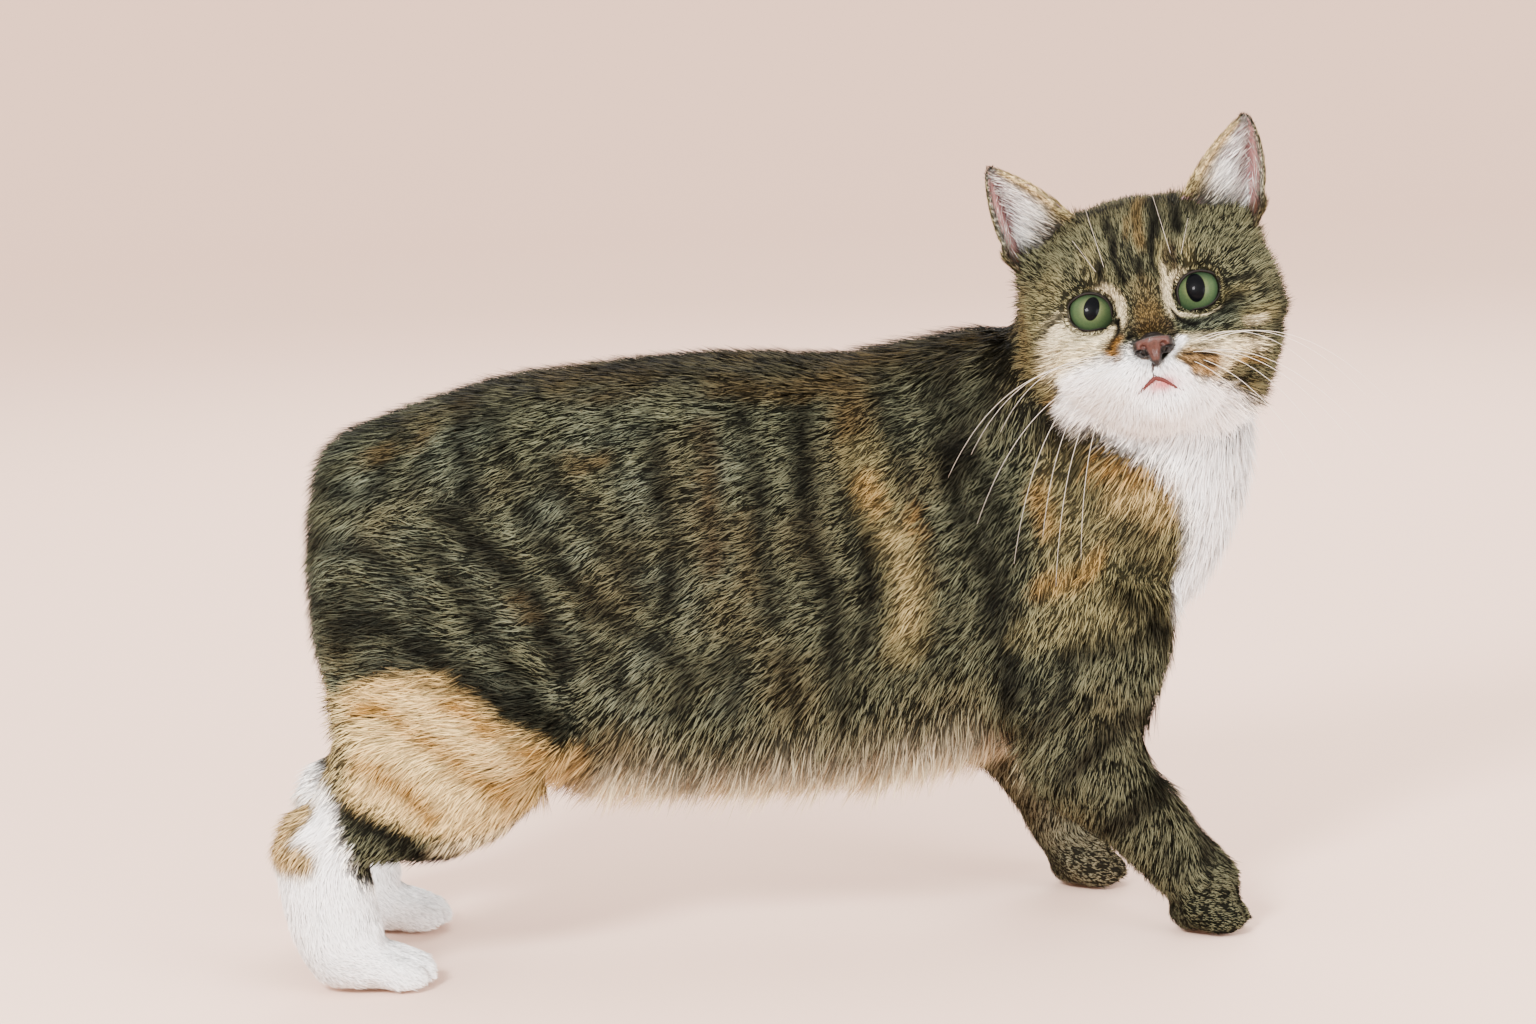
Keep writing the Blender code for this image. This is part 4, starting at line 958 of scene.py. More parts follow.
def paintFace(paint, local, share):
    # local in centimetres from between the eyes
    ragged = roughness3d(local, 0.30, 8)
    points = local + 0.055 * ragged[:, None]
    paint.lay("tabby", share)
    crown = smoothStep(3.0, 4.6, points[:, 2]) * (np.abs(points[:, 1]) < 3.6)
    paint.lay("back", share * crown * 0.7)
    paint.lay("tan", share * 0.16)
    paint.draw(faceStrokes, points, share * (0.92 + 0.35 * ragged), 0.6, 1.06, paleCream=0.9)
    # fawn clouds in the pale cheek
    clouds = smoothStep(0.05, 0.45, roughness3d(local, 0.26, 31))
    clouds *= nearLine(points, ((0.9, -2.5, -1.9), (0.4, -3.5, -2.0)), 0.85)
    paint.lay("cream", share * clouds * 0.45)
    # a pale ring round each eye, wide and bright beside the nose
    for side in (-1, 1):
        across, up = eyePlane(local / 100, side)
        away = np.hypot(across, up)
        reach = away / openingReach(across, up, side) + 0.10 * ragged
        inner = smoothStep(0.0, 0.9, -side * across / away + 0.15 * up / away)
        ring = between(reach, 1.0, 1.10, 1.14 + 0.12 * inner, 1.42 + 0.34 * inner) * (local[:, 0] > -2)
        paint.lay("tan", share * ring * 0.60)
        paint.lay("paleCream", share * ring * inner * 0.72)
    paint.draw(eyeCorners, points, share)
    # white jaw and throat, higher on the cat's right cheek
    x, y, z = points.T
    front = smoothStep(-4.5, -2.5, x - 0.25 * z) * smoothStep(-4.6, -3.4, x)
    front *= 1 - smoothStep(2.4, 3.8, y) * smoothStep(-0.6, -2.4, x)
    paint.draw(muzzleStrokes, points, share, 0.5)
    paint.lay("white", share * front * smoothStep(0.30, -0.25, z - alongLine("jaw", y) + 0.25 * ragged))
    for reach, strength in ((1.20, 0.38), (0.66, 0.90)):
        chin = closeness(points, chinPlace, 0.1, reach, (1.0, 1.3, 0.62))
        paint.lay("lip", share * chin * strength)


def markings(points, normals):
    body = (points - shiftArray) * 100
    local = headLocal(points) * 100
    foreLimbs = shareOf("forearm", "forepaw", "upper_arm")
    legs = foreLimbs * smoothStep(11.5, 9.0, body[:, 2])
    hind = shareOf("shank", "hind_foot", "thigh")
    facing = -normals[:, 1] * np.sign(body[:, 1])
    inside = smoothStep(0.15, 0.7, facing) * smoothStep(13, 10, body[:, 2])
    under = smoothStep(0.1, 0.7, -normals[:, 2])
    paint = Paint(len(points), "tabby")
    nape = smoothStep(-9.0, -10.4, local[:, 0]) * smoothStep(16.6, 18.4, body[:, 2])
    plane = paintBody(paint, body, 1 - foreLimbs, under, nape)
    paintLegs(paint, plane, body, inside, hind, legs)
    paint.lay("back", legs * (1 - inside) * 0.28)
    # painted shade in the grooves between the toes: dark on the forepaws, brown on the hind feet
    paint.lay("dark", toeGrooveShade * shareOf("forepaw") * 0.75)
    paint.lay("brown", toeGrooveShade ** 2 * shareOf("hind_foot") * 0.85)
    paintFace(paint, local, smoothStep(0.35, 0.65, headShare))
    return paint


# the coat takes the colour of the place that its tufts reach over
tuftReach = 0.72
coatSurface = skinPoints + skinNormals * coatDepth[:, None]
skinPaint = markings(coatSurface, skinNormals)
coatPaint = markings(coatSurface + coatFlow * (coatLength * tuftReach)[:, None], skinNormals)
print("markings done")

# Materials

hairLook = {
    "lightBand": 4.2,
    "darkTip": 0.20,
    "bandShare": 0.52,
    "warmBand": (1.04, 1.0, 0.88),
    "roughness": 0.62,
    "specular": 0.02,
}


def newNode(tree, kind, given=(), **settings):
    # a node with its settings made, and each input given as a value or as another node's output
    node = tree.nodes.new(kind)
    for setting, value in settings.items():
        setattr(node, setting, value)
    for slot, value in dict(given).items():
        if isinstance(value, bpy.types.NodeSocket):
            tree.links.new(value, node.inputs[slot])
        elif value is not None:
            node.inputs[slot].default_value = value
    return node


def newGroup(name, inputs, outputs, kind="ShaderNodeTree"):
    group = bpy.data.node_groups.new(name, kind)
    for direction, sockets in (("INPUT", inputs), ("OUTPUT", outputs)):
        for label, socketKind in sockets:
            group.interface.new_socket(label, in_out=direction, socket_type="NodeSocket" + socketKind)
    return group, group.nodes.new("NodeGroupInput").outputs, group.nodes.new("NodeGroupOutput")


def ramp(tree, value, low, high, start=0.0, end=1.0, curve="SMOOTHSTEP"):
    given = {"Value": value, "From Min": low, "From Max": high, "To Min": start, "To Max": end}
    return newNode(tree, "ShaderNodeMapRange", given, interpolation_type=curve).outputs["Result"]


def maths(tree, operation, *values):
    return newNode(tree, "ShaderNodeMath", enumerate(values), operation=operation).outputs[0]


def vectorMaths(tree, operation, first, second=None):
    given = {0: first, "Scale" if operation == "SCALE" else 1: second}
    return newNode(tree, "ShaderNodeVectorMath", given, operation=operation).outputs[0]


def combined(tree, *values):
    return newNode(tree, "ShaderNodeCombineXYZ", enumerate(values)).outputs[0]


def mixColour(tree, share, a, b, blend="MIX"):
    a, b = (c if isinstance(c, bpy.types.NodeSocket) else (*c, 1.0) for c in (a, b))
    given = {0: share, 6: a, 7: b}
    return newNode(tree, "ShaderNodeMix", given, data_type="RGBA", blend_type=blend).outputs[2]


def attributeNode(tree, name, output="Fac"):
    return newNode(tree, "ShaderNodeAttribute", attribute_name=name).outputs[output]


def hairColourGroup():
    # a banded hair: dark at its root and tip and light between, or nearly one colour, by its agouti share
    inputs = (("Tone", "Color"), ("Agouti", "Float"), ("Along", "Float"), ("Chance", "Float"))
    group, given, out = newGroup("bandedHair", inputs, (("Colour", "Color"),))
    along, chance, agoutiShare = given["Along"], given["Chance"], given["Agouti"]
    bandStart, bandEnd = ramp(group, along, 0.38, 0.60), ramp(group, along, 0.84, 0.98, 1.0, 0.0)
    band = maths(group, "MULTIPLY", bandStart, bandEnd)
    unbanded = 1 - hairLook["bandShare"]
    picked = ramp(group, chance, unbanded - 0.08, unbanded + 0.08)
    light = maths(group, "MULTIPLY", band, picked)
    banded = ramp(group, light, 0.0, 1.0, hairLook["darkTip"], hairLook["lightBand"])
    # plain hairs darken towards the root: painted shade deep in the coat
    rootShade = ramp(group, along, 0.0, 0.75, 0.55, 1.0)
    plain = maths(group, "MULTIPLY", rootShade, ramp(group, chance, 0.0, 1.0, 0.90, 1.08))
    brightness = newNode(group, "ShaderNodeMix", {0: agoutiShare, 2: plain, 3: banded}).outputs[0]
    warmth = maths(group, "MULTIPLY", light, agoutiShare)
    warm = mixColour(group, warmth, given["Tone"], hairLook["warmBand"], "MULTIPLY")
    group.links.new(vectorMaths(group, "SCALE", warm, brightness), out.inputs[0])
    return group


def newMaterial(name, roughness, specular=0.5, coat=0.0):
    material = bpy.data.materials.new(name)
    material.use_nodes = True
    shader = material.node_tree.nodes["Principled BSDF"]
    looks = {"Roughness": roughness, "Specular IOR Level": specular, "Coat Weight": coat}
    for label, value in {**looks, "Coat Roughness": 0.04}.items():
        shader.inputs[label].default_value = value
    return material, material.node_tree, shader


def addBump(tree, shader, height, strength, distance):
    bump = newNode(tree, "ShaderNodeBump", {"Strength": strength, "Distance": distance, "Height": height})
    tree.links.new(bump.outputs[0], shader.inputs["Normal"])


def objectNoise(tree, scale, detail=3.0):
    place = tree.nodes.new("ShaderNodeTexCoord").outputs["Object"]
    given = {"Scale": scale, "Detail": detail, "Vector": place}
    return newNode(tree, "ShaderNodeTexNoise", given).outputs[0]


bandedHair = hairColourGroup()


def hairMaterial(name, along=None):
    # the coat's tufts, or with a fixed place along the hair the undercoat that shows between them, kept in
    # the hair's dark lower part as painted shade deep in the coat
    material, tree, shader = newMaterial(name, hairLook["roughness"], hairLook["specular"])
    given = {"Tone": attributeNode(tree, "tone", "Color"), "Agouti": attributeNode(tree, "tick")}
    if along is None:
        given.update({"Along": attributeNode(tree, "along"), "Chance": attributeNode(tree, "vary")})
    else:
        given.update({"Along": along, "Chance": ramp(tree, objectNoise(tree, 900.0, 1.0), 0.3, 0.7)})
        addBump(tree, shader, objectNoise(tree, 700.0, 2.0), 0.6, 0.0006)
    group = newNode(tree, "ShaderNodeGroup", given, node_tree=bandedHair)
    tree.links.new(group.outputs[0], shader.inputs["Base Color"])
    return material


coatMaterial = hairMaterial("coat")
# the skin between the tufts takes the dark lower part of the hair, as painted shade deep in the coat
shadedUnderMaterial = hairMaterial("undercoat", 0.30)


def setTone(mesh, paint, here=None):
    for suffix, colours in (("", paint), ("Here", here)):
        if colours:
            storeAttribute(mesh, "tone" + suffix, colours.tone, "FLOAT_VECTOR")
            storeAttribute(mesh, "tick" + suffix, colours.tick)


def unwrapped(piece, margin=0.003):
    bpy.ops.object.select_all(action="DESELECT")
    bpy.context.view_layer.objects.active = piece
    piece.select_set(True)
    bpy.ops.object.mode_set(mode="EDIT")
    bpy.ops.mesh.select_all(action="SELECT")
    bpy.ops.uv.smart_project(angle_limit=1.15, island_margin=margin)
    bpy.ops.object.mode_set(mode="OBJECT")
    piece.data.uv_layers.active.name = "OFBake"


def finished(mesh, material, margin=0.01):
    mesh.materials.append(material)
    piece = newPiece(mesh.name, mesh)
    unwrapped(piece, margin)
    return piece


unwrapped(skin)
setTone(skin.data, skinPaint)
skin.data.materials.append(shadedUnderMaterial)
print("unwrapped")

# Tufts: thin tapered blades set along the lie of the coat

tuftShapes = (
    # for each kind: how far along and how high its middle and tip stand, and its middle's width
    (0.46, 0.055, -0.030, 0.92),
    (0.52, 0.040, 0.020, 0.80),
    (0.40, 0.060, -0.060, 0.98),
)


def tuftBlade(index, middle, rise, tipRise, broad):
    points = [(0, -0.36, 0), (0, 0.36, 0)]
    points += [(middle, -broad / 2, rise), (middle, broad / 2, rise), (1, 0, tipRise)]
    mesh = meshFrom(f"tuft{index}", points, [(0, 2, 3, 1), (2, 4, 3)])
    storeAttribute(mesh, "along", [0, 0, middle, middle, 1])
    storeAttribute(mesh, "across", [0, 1, 0, 1, 0.5])
    return newPiece(f"tuft{index}", mesh)


tuftKinds = [tuftBlade(i, *shape) for i, shape in enumerate(tuftShapes)]


def coatTree():
    inputs = [("Geometry", "Geometry"), ("Region", "Int"), ("Thickness", "Float"), ("Length", "Float")]
    inputs += [("Turn", "Float"), ("Stand", "Float"), ("Seed", "Int")]
    inputs += [("Clump", "Float"), ("Follow", "Float")]
    inputs += [("Tuft 1", "Object"), ("Tuft 2", "Object"), ("Tuft 3", "Object"), ("Coat", "Material")]
    outputs = [("Geometry", "Geometry")]
    tree, given, out = newGroup("coatTufts", inputs, outputs, "GeometryNodeTree")

    def make(kind, inputs=(), **settings):
        return newNode(tree, kind, inputs, **settings).outputs[0]

    def named(name, kind="FLOAT"):
        return make("GeometryNodeInputNamedAttribute", {0: name}, data_type=kind)

    def product(a, b):
        return maths(tree, "MULTIPLY", a, b)

    def chance(low, high, shift, kind="FLOAT"):
        # a random number for each tuft, from a seed of its own
        first, second, result = {"FLOAT": (2, 3, 1), "INT": (4, 5, 2)}[kind]
        inputs = {first: low, second: high, "Seed": maths(tree, "ADD", given["Seed"], shift)}
        return newNode(tree, "FunctionNodeRandomValue", inputs, data_type=kind).outputs[result]

    def store(geometry, name, value, kind="FLOAT", domain="POINT"):
        inputs = {"Geometry": geometry, "Name": name, "Value": value}
        return make("GeometryNodeStoreNamedAttribute", inputs, data_type=kind, domain=domain)

    # roots, spread over the faces of one region
    regions = {2: named("region", "INT"), 3: given["Region"]}
    scatter = newNode(tree, "GeometryNodeDistributePointsOnFaces", {
        "Mesh": given["Geometry"],
        "Selection": make("FunctionNodeCompare", regions, data_type="INT", operation="EQUAL"),
        "Density": product(named("thickness"), given["Thickness"]),
        "Seed": given["Seed"],
    }).outputs
    clumps = make("ShaderNodeTexNoise", {"Scale": given["Clump"], "Detail": 1.0})
    vary = maths(tree, "ADD", ramp(tree, clumps, 0.36, 0.64, 0.0, 0.55, "LINEAR"), chance(0.0, 0.45, 1))
    points = store(scatter["Points"], "lieNormal", scatter["Normal"], "FLOAT_VECTOR")
    points = store(points, "vary", vary)
    points = store(points, "rootUV", named("OFBake", "FLOAT_VECTOR"), "FLOAT_VECTOR")
    # each tuft's own direction, length and width
    axes = {0: named("lieNormal", "FLOAT_VECTOR"), 1: named("flow", "FLOAT_VECTOR")}
    facing = make("FunctionNodeAxesToRotation", axes, primary_axis="Z", secondary_axis="X")
    lift = product(named("stand"), product(chance(0.55, 1.40, 2), given["Stand"]))
    turn = product(chance(-1.0, 1.0, 3), given["Turn"])
    leaning = combined(tree, chance(-0.35, 0.35, 4), product(lift, -1.0), turn)
    lean = make("FunctionNodeEulerToRotation", {0: leaning})
    length = product(named("hairLength"), product(chance(0.70, 1.18, 5), given["Length"]))
    width = product(named("hairWidth"), chance(0.75, 1.25, 6))
    kinds = tree.nodes.new("GeometryNodeJoinGeometry")
    for label in ("Tuft 3", "Tuft 2", "Tuft 1"):
        info = newNode(tree, "GeometryNodeObjectInfo", {"As Instance": True, "Object": given[label]})
        tree.links.new(info.outputs["Geometry"], kinds.inputs[0])
    tufts = make("GeometryNodeInstanceOnPoints", {
        "Pick Instance": True,
        "Points": points,
        "Instance": kinds.outputs[0],
        "Instance Index": chance(0, 2, 7, "INT"),
        "Rotation": make("FunctionNodeRotateRotation", {0: facing, 1: lean}, rotation_space="LOCAL"),
        "Scale": combined(tree, length, width, length),
    })
    # soft shading, between the blades' own and the skin's
    skinSide = vectorMaths(tree, "SCALE", named("lieNormal", "FLOAT_VECTOR"), 0.6)
    bladeSide = vectorMaths(tree, "SCALE", make("GeometryNodeInputNormal"), 0.4)
    normal = vectorMaths(tree, "NORMALIZE", vectorMaths(tree, "ADD", skinSide, bladeSide))
    inputs = {"Mesh": make("GeometryNodeRealizeInstances", {0: tufts}), "Custom Normal": normal}
    coat = make("GeometryNodeSetMeshNormal", inputs, mode="FREE", domain="POINT")
    # part of a blade's colour is its root's and part that of the markings where it lies
    followed = (("tone", "FLOAT_VECTOR", "VECTOR", 4, 1), ("tick", "FLOAT", "FLOAT", 2, 0))
    for name, kind, mixKind, slot, result in followed:
        inputs = {"Mesh": given["Geometry"], "Value": named(name + "Here", kind)}
        here = make("GeometryNodeSampleNearestSurface", inputs, data_type=kind)
        inputs = {0: given["Follow"], slot: named(name, kind), slot + 1: here}
        blend = newNode(tree, "ShaderNodeMix", inputs, data_type=mixKind).outputs[result]
        coat = store(coat, name, blend, kind)
    across = combined(tree, named("across"), named("along"), 0.0)
    patch = vectorMaths(tree, "SCALE", across, 0.003)
    bladeUV = vectorMaths(tree, "ADD", named("rootUV", "FLOAT_VECTOR"), patch)
    coat = store(coat, "OFBake", bladeUV, "FLOAT2", "CORNER")
    coat = make("GeometryNodeSetMaterial", {"Geometry": coat, "Material": given["Coat"]})
    tree.links.new(coat, out.inputs[0])
    return tree


tuftTree = coatTree()
keptAttributes = {
    "tone", "tick", "along", "vary", "OFBake", "position", "custom_normal", "sharp_face", "material_index",
}


def coatPiece(name, ground, region, seed, **choices):
    # the tufts of one region of the ground, as a mesh of their own
    piece = newPiece(name, ground.data)
    modifier = piece.modifiers.new("tufts", "NODES")
    modifier.node_group = tuftTree
    values = {"Thickness": 1.0, "Length": 1.0, "Turn": 0.30, "Stand": 1.0, "Clump": 560.0, "Follow": 0.8}
    values.update({f"Tuft {i + 1}": kind for i, kind in enumerate(tuftKinds)})
    values.update({"Region": region, "Seed": seed, "Coat": coatMaterial, **choices})
    for item in tuftTree.interface.items_tree:
        if item.in_out == "INPUT" and item.name in values:
            modifier[item.identifier] = values[item.name]
    baked(piece)
    mesh = piece.data
    mesh.name = name
    names = [a.name for a in mesh.attributes if not a.name.startswith(".")]
    for attribute in set(names) - keptAttributes:
        mesh.attributes.remove(mesh.attributes[attribute])
    print(name, len(mesh.polygons) * 3 // 2, "triangles")
    return piece


coatRegions = (
    # each coat piece's parts of the body, and which side of it, where it has one side only
    ("coatFace", ("head",), None),
    ("coatCrown", ("head",), None),
    ("coatNeck", ("neck",), None),
    ("coatShoulderNear", ("chest", "upper_arm"), True),
    ("coatShoulderFar", ("chest", "upper_arm"), False),
    ("coatFlankNear", ("abdomen",), True),
    ("coatFlankFar", ("abdomen",), False),
    ("coatRumpNear", ("rump", "thigh"), True),
    ("coatRumpFar", ("rump", "thigh"), False),
    ("coatForelegs", ("forearm", "forepaw"), None),
    ("coatHindLegNear", ("shank", "hind_foot"), True),
    ("coatHindLegFar", ("shank", "hind_foot"), False),
)
faceEnd = -0.022


def regionOfFaces(mesh):
    corners = np.empty(len(mesh.loops), np.int32)
    mesh.loops.foreach_get("vertex_index", corners)
    starts = np.empty(len(mesh.polygons), np.int32)
    mesh.polygons.foreach_get("loop_start", starts)
    first = corners[starts]
    part = np.array(partNames)[np.argmax(partShare[first], axis=1)]
    near = skinPoints[first, 1] - shiftArray[1] < 0
    region = np.zeros(len(first), np.int32)
    for index, (_, parts, side) in enumerate(coatRegions):
        region[np.isin(part, parts) & (True if side is None else near == side)] = index
    region[(part == "head") & (skinLocal[first, 0] > faceEnd)] = 0
    return region


def groomed(name, source, paint, here, region, lie):
    # a copy of a surface that carries what its tufts need to know
    ground = newPiece(name, source.copy())
    storeAttribute(ground.data, "flow", lie[0], "FLOAT_VECTOR")
    for label, values in zip(("hairLength", "hairWidth", "thickness", "stand"), lie[1:]):
        storeAttribute(ground.data, label, values)
    setTone(ground.data, paint, here)
    storeAttribute(ground.data, "region", region, "INT", "FACE")
    return ground


def makeCoat():
    lie = (coatFlow, coatLength, coatWidth, coatThickness, coatLift)
    ground = groomed("coatGround", skin.data, coatPaint, skinPaint, regionOfFaces(skin.data), lie)
    fine = {"Clump": 900.0, "Turn": 0.24, "Follow": 0.9}
    pieces = []
    for index, (name, parts, _) in enumerate(coatRegions):
        pieces.append(coatPiece(name, ground, index, 11 + index, **(fine if "head" in parts else {})))
    bpy.data.objects.remove(ground)
    return pieces


coatPieces = makeCoat()

# Eyes

eyeSize = {
    "corneaRise": 0.0006,
    "pupilHalfWidth": 0.0031,
    "pupilHalfHeight": 0.0049,
    "leftPupilShare": 1.20,
    "turnOut": 4,
    "gazeIn": 1.15,
    "gazeUp": 1.05,
    "pupilRoll": 12,
    # where the inner colour turns to the middle one, that to the outer one, and that to the rim's, in mm
    "irisEdges": ((3.0, 6.4), (6.8, 8.6), (8.5, 9.2)),
    "fibres": 9.0,
}
eyeColours = {
    "pupil": srgb(2, 3, 5),
    "inner": srgb(80, 88, 56),
    "middle": srgb(54, 70, 45),
    "outer": srgb(38, 54, 36),
    "rim": srgb(16, 18, 12),
    # the colour of the painted shadow that the upper lid casts on the iris
    "shade": srgb(20, 32, 22),
}


def eyeFrame(side):
    centre = Matrix.Translation((-catPose["eyeSetBack"], side * catPose["eyeSpacing"] / 2, 0))
    turn = Matrix.Rotation(math.radians(side * eyeSize["turnOut"]), 4, "Z")
    return headPlace @ centre @ turn @ Matrix.Rotation(math.radians(side * catPose["eyeSlant"]), 4, "X")


def sumOfSquares(tree, first, second):
    squares = [maths(tree, "MULTIPLY", value, value) for value in (first, second)]
    return maths(tree, "ADD", *squares)


def eyeMaterial():
    material, tree, shader = newMaterial("irisAndPupil", 0.45, 0.03, 0.09)
    shader.inputs["Coat IOR"].default_value = 1.34
    across, up = attributeNode(tree, "across"), attributeNode(tree, "up")
    away = maths(tree, "SQRT", sumOfSquares(tree, across, up))
    angle = maths(tree, "ARCTAN2", across, up)
    around = maths(tree, "MULTIPLY", angle, eyeSize["fibres"])
    spokes = combined(tree, around, maths(tree, "MULTIPLY", away, 0.35))
    fibres = newNode(tree, "ShaderNodeTexNoise", {"Scale": 2.4, "Detail": 4.0, "Vector": spokes}).outputs[0]
    middle, outer, rim = (ramp(tree, away, *reach) for reach in eyeSize["irisEdges"])
    colour = mixColour(tree, middle, eyeColours["inner"], eyeColours["middle"])
    colour = mixColour(tree, outer, colour, eyeColours["outer"])
    colour = mixColour(tree, ramp(tree, fibres, 0.35, 0.75, 0.0, 0.45), colour, eyeColours["outer"])
    # painted shadow of the upper lid: the iris darkens towards its top
    colour = mixColour(tree, ramp(tree, up, 0.5, 6.5, 0.0, 0.85), colour, eyeColours["shade"])
    wide = maths(tree, "DIVIDE", across, eyeSize["pupilHalfWidth"] * 1000)
    high = maths(tree, "DIVIDE", up, eyeSize["pupilHalfHeight"] * 1000)
    oval = maths(tree, "MULTIPLY", sumOfSquares(tree, wide, high), attributeNode(tree, "pupilShare"))
    colour = mixColour(tree, ramp(tree, oval, 0.94, 1.10, 1.0, 0.0), colour, eyeColours["pupil"])
    colour = mixColour(tree, rim, colour, eyeColours["rim"])
    tree.links.new(colour, shader.inputs["Base Color"])
    return material


irisMaterial = eyeMaterial()


def makeEye(side, name):
    bm = bmesh.new()
    poleAhead = Matrix.Rotation(math.pi / 2, 4, "Y")
    bmesh.ops.create_uvsphere(bm, u_segments=96, v_segments=64, radius=1.0, matrix=poleAhead)
    mesh = bpy.data.meshes.new(name)
    bm.to_mesh(mesh)
    bm.free()
    points = unit(vertexPoints(mesh))
    angle = np.degrees(np.arccos(np.clip(points[:, 0], -1, 1)))
    radius = catPose["eyeRadius"] + eyeSize["corneaRise"] * (1 - smoothStep(8, 52, angle))
    points = points * radius[:, None]
    # the iris and pupil in millimetres from their own middle, the pupil upright as the head tilts
    across = points[:, 1] * 1000 + side * eyeSize["gazeIn"]
    up = points[:, 2] * 1000 - eyeSize["gazeUp"]
    across, up = turnedPair(across, up, math.radians(-eyeSize["pupilRoll"]))
    pupilShare = 1.0 if side < 0 else eyeSize["leftPupilShare"] ** -2
    for label, values in (("across", across), ("up", up), ("pupilShare", np.full(len(points), pupilShare))):
        storeAttribute(mesh, label, values)
    setVertexPoints(mesh, placed(points, eyeFrame(side)))
    mesh.shade_smooth()
    return finished(mesh, irisMaterial)


def ringFaces(rings, sides, closed=False, start=0):
    # quads between rings of points, with the last ring joined to the first where closed
    faces = []
    for i in range(rings if closed else rings - 1):
        low, high = start + i * sides, start + (i + 1) % rings * sides
        faces += [(low + j, low + (j + 1) % sides, high + (j + 1) % sides, high + j) for j in range(sides)]
    return faces


def facedOutward(mesh):
    bm = bmesh.new()
    bm.from_mesh(mesh)
    bmesh.ops.recalc_face_normals(bm, faces=bm.faces)
    bm.to_mesh(mesh)
    bm.free()
    mesh.shade_smooth()
    return mesh


lidShape = {
    # across the lid, from the eyeball outwards: how far out, and how far ahead of the ball, in millimetres
    "upper": ((0.0, 0.02), (0.02, 0.75), (0.35, 1.15), (0.80, 0.90), (1.10, -0.2), (1.4, -1.8), (1.1, -2.6),
              (0.3, -1.6)),
    "lower": ((0.0, 0.02), (0.02, 0.50), (0.20, 0.78), (0.50, 0.60), (0.8, -0.4), (1.2, -2.0), (1.0, -2.6),
              (0.3, -1.6)),
    "steps": 72,
    "clearance": 0.0001,
    "lastReach": 0.0103,
}


def makeLids(side, name):
    rings = []
    upper, lower = np.array(lidShape["upper"]), np.array(lidShape["lower"])
    for turn in np.arange(lidShape["steps"]) * 2 * math.pi / lidShape["steps"]:
        y, z = math.cos(turn), math.sin(turn)
        reach = float(openingReach(y, z, side))
        out, ahead = ((upper * (0.5 + 0.5 * z) + lower * (0.5 - 0.5 * z)) / 1000).T
        radius = catPose["eyeRadius"] + lidShape["clearance"]
        ball = math.sqrt(radius ** 2 - min(reach, lidShape["lastReach"]) ** 2)
        rings.append(np.stack((ball + ahead, y * (reach + out), z * (reach + out)), 1))
    rings = np.array(rings)
    points = placed(rings.reshape(-1, 3), eyeFrame(side))
    faces = ringFaces(*rings.shape[:2], closed=True)
    return finished(facedOutward(meshFrom(name, points, faces)), lidMaterial)


def plainMaterial(name, colour, roughness, specular=0.5, grain=0.0):
    material, tree, shader = newMaterial(name, roughness, specular)
    shader.inputs["Base Color"].default_value = (*colour, 1)
    if grain:
        addBump(tree, shader, objectNoise(tree, 1500.0), grain, 0.0002)
    return material


lidMaterial = plainMaterial("lidRim", srgb(20, 16, 14), 0.6, 0.15, 0.3)
eyes = [makeEye(-1, "eyeRight"), makeEye(1, "eyeLeft")]
lids = [makeLids(-1, "lidsRight"), makeLids(1, "lidsLeft")]
print("eyes done")

# Nose and mouth

noseShape = {
    # places from between the eyes, out to each side and up; all in metres
    "fineness": 0.00032,
    "nostril": (0.0040, -0.0252),
    "nostrilHalf": (0.0015, 0.0010),
    "nostrilSlope": 0.30,
    "tail": (0.0058, -0.0243),
    "tailHalf": (0.0016, 0.0006),
    "nostrilDepth": 0.0018,
    "grooveWidth": 0.0004,
    "grooveDepth": 0.0005,
    "topDepth": 0.0065,
    "barHeights": (-0.0243, -0.0234),
    "barEnds": (0.0070, 0.0058),
    "stemWidths": (0.0010, 0.0027),
    "stemHeights": (-0.0300, -0.0240),
}
# the nostrils' near black is painted shade, standing in for the dark inside the openings
noseColours = {"pad": srgb(60, 32, 26), "edge": srgb(15, 10, 9), "nostril": srgb(4, 2, 2)}


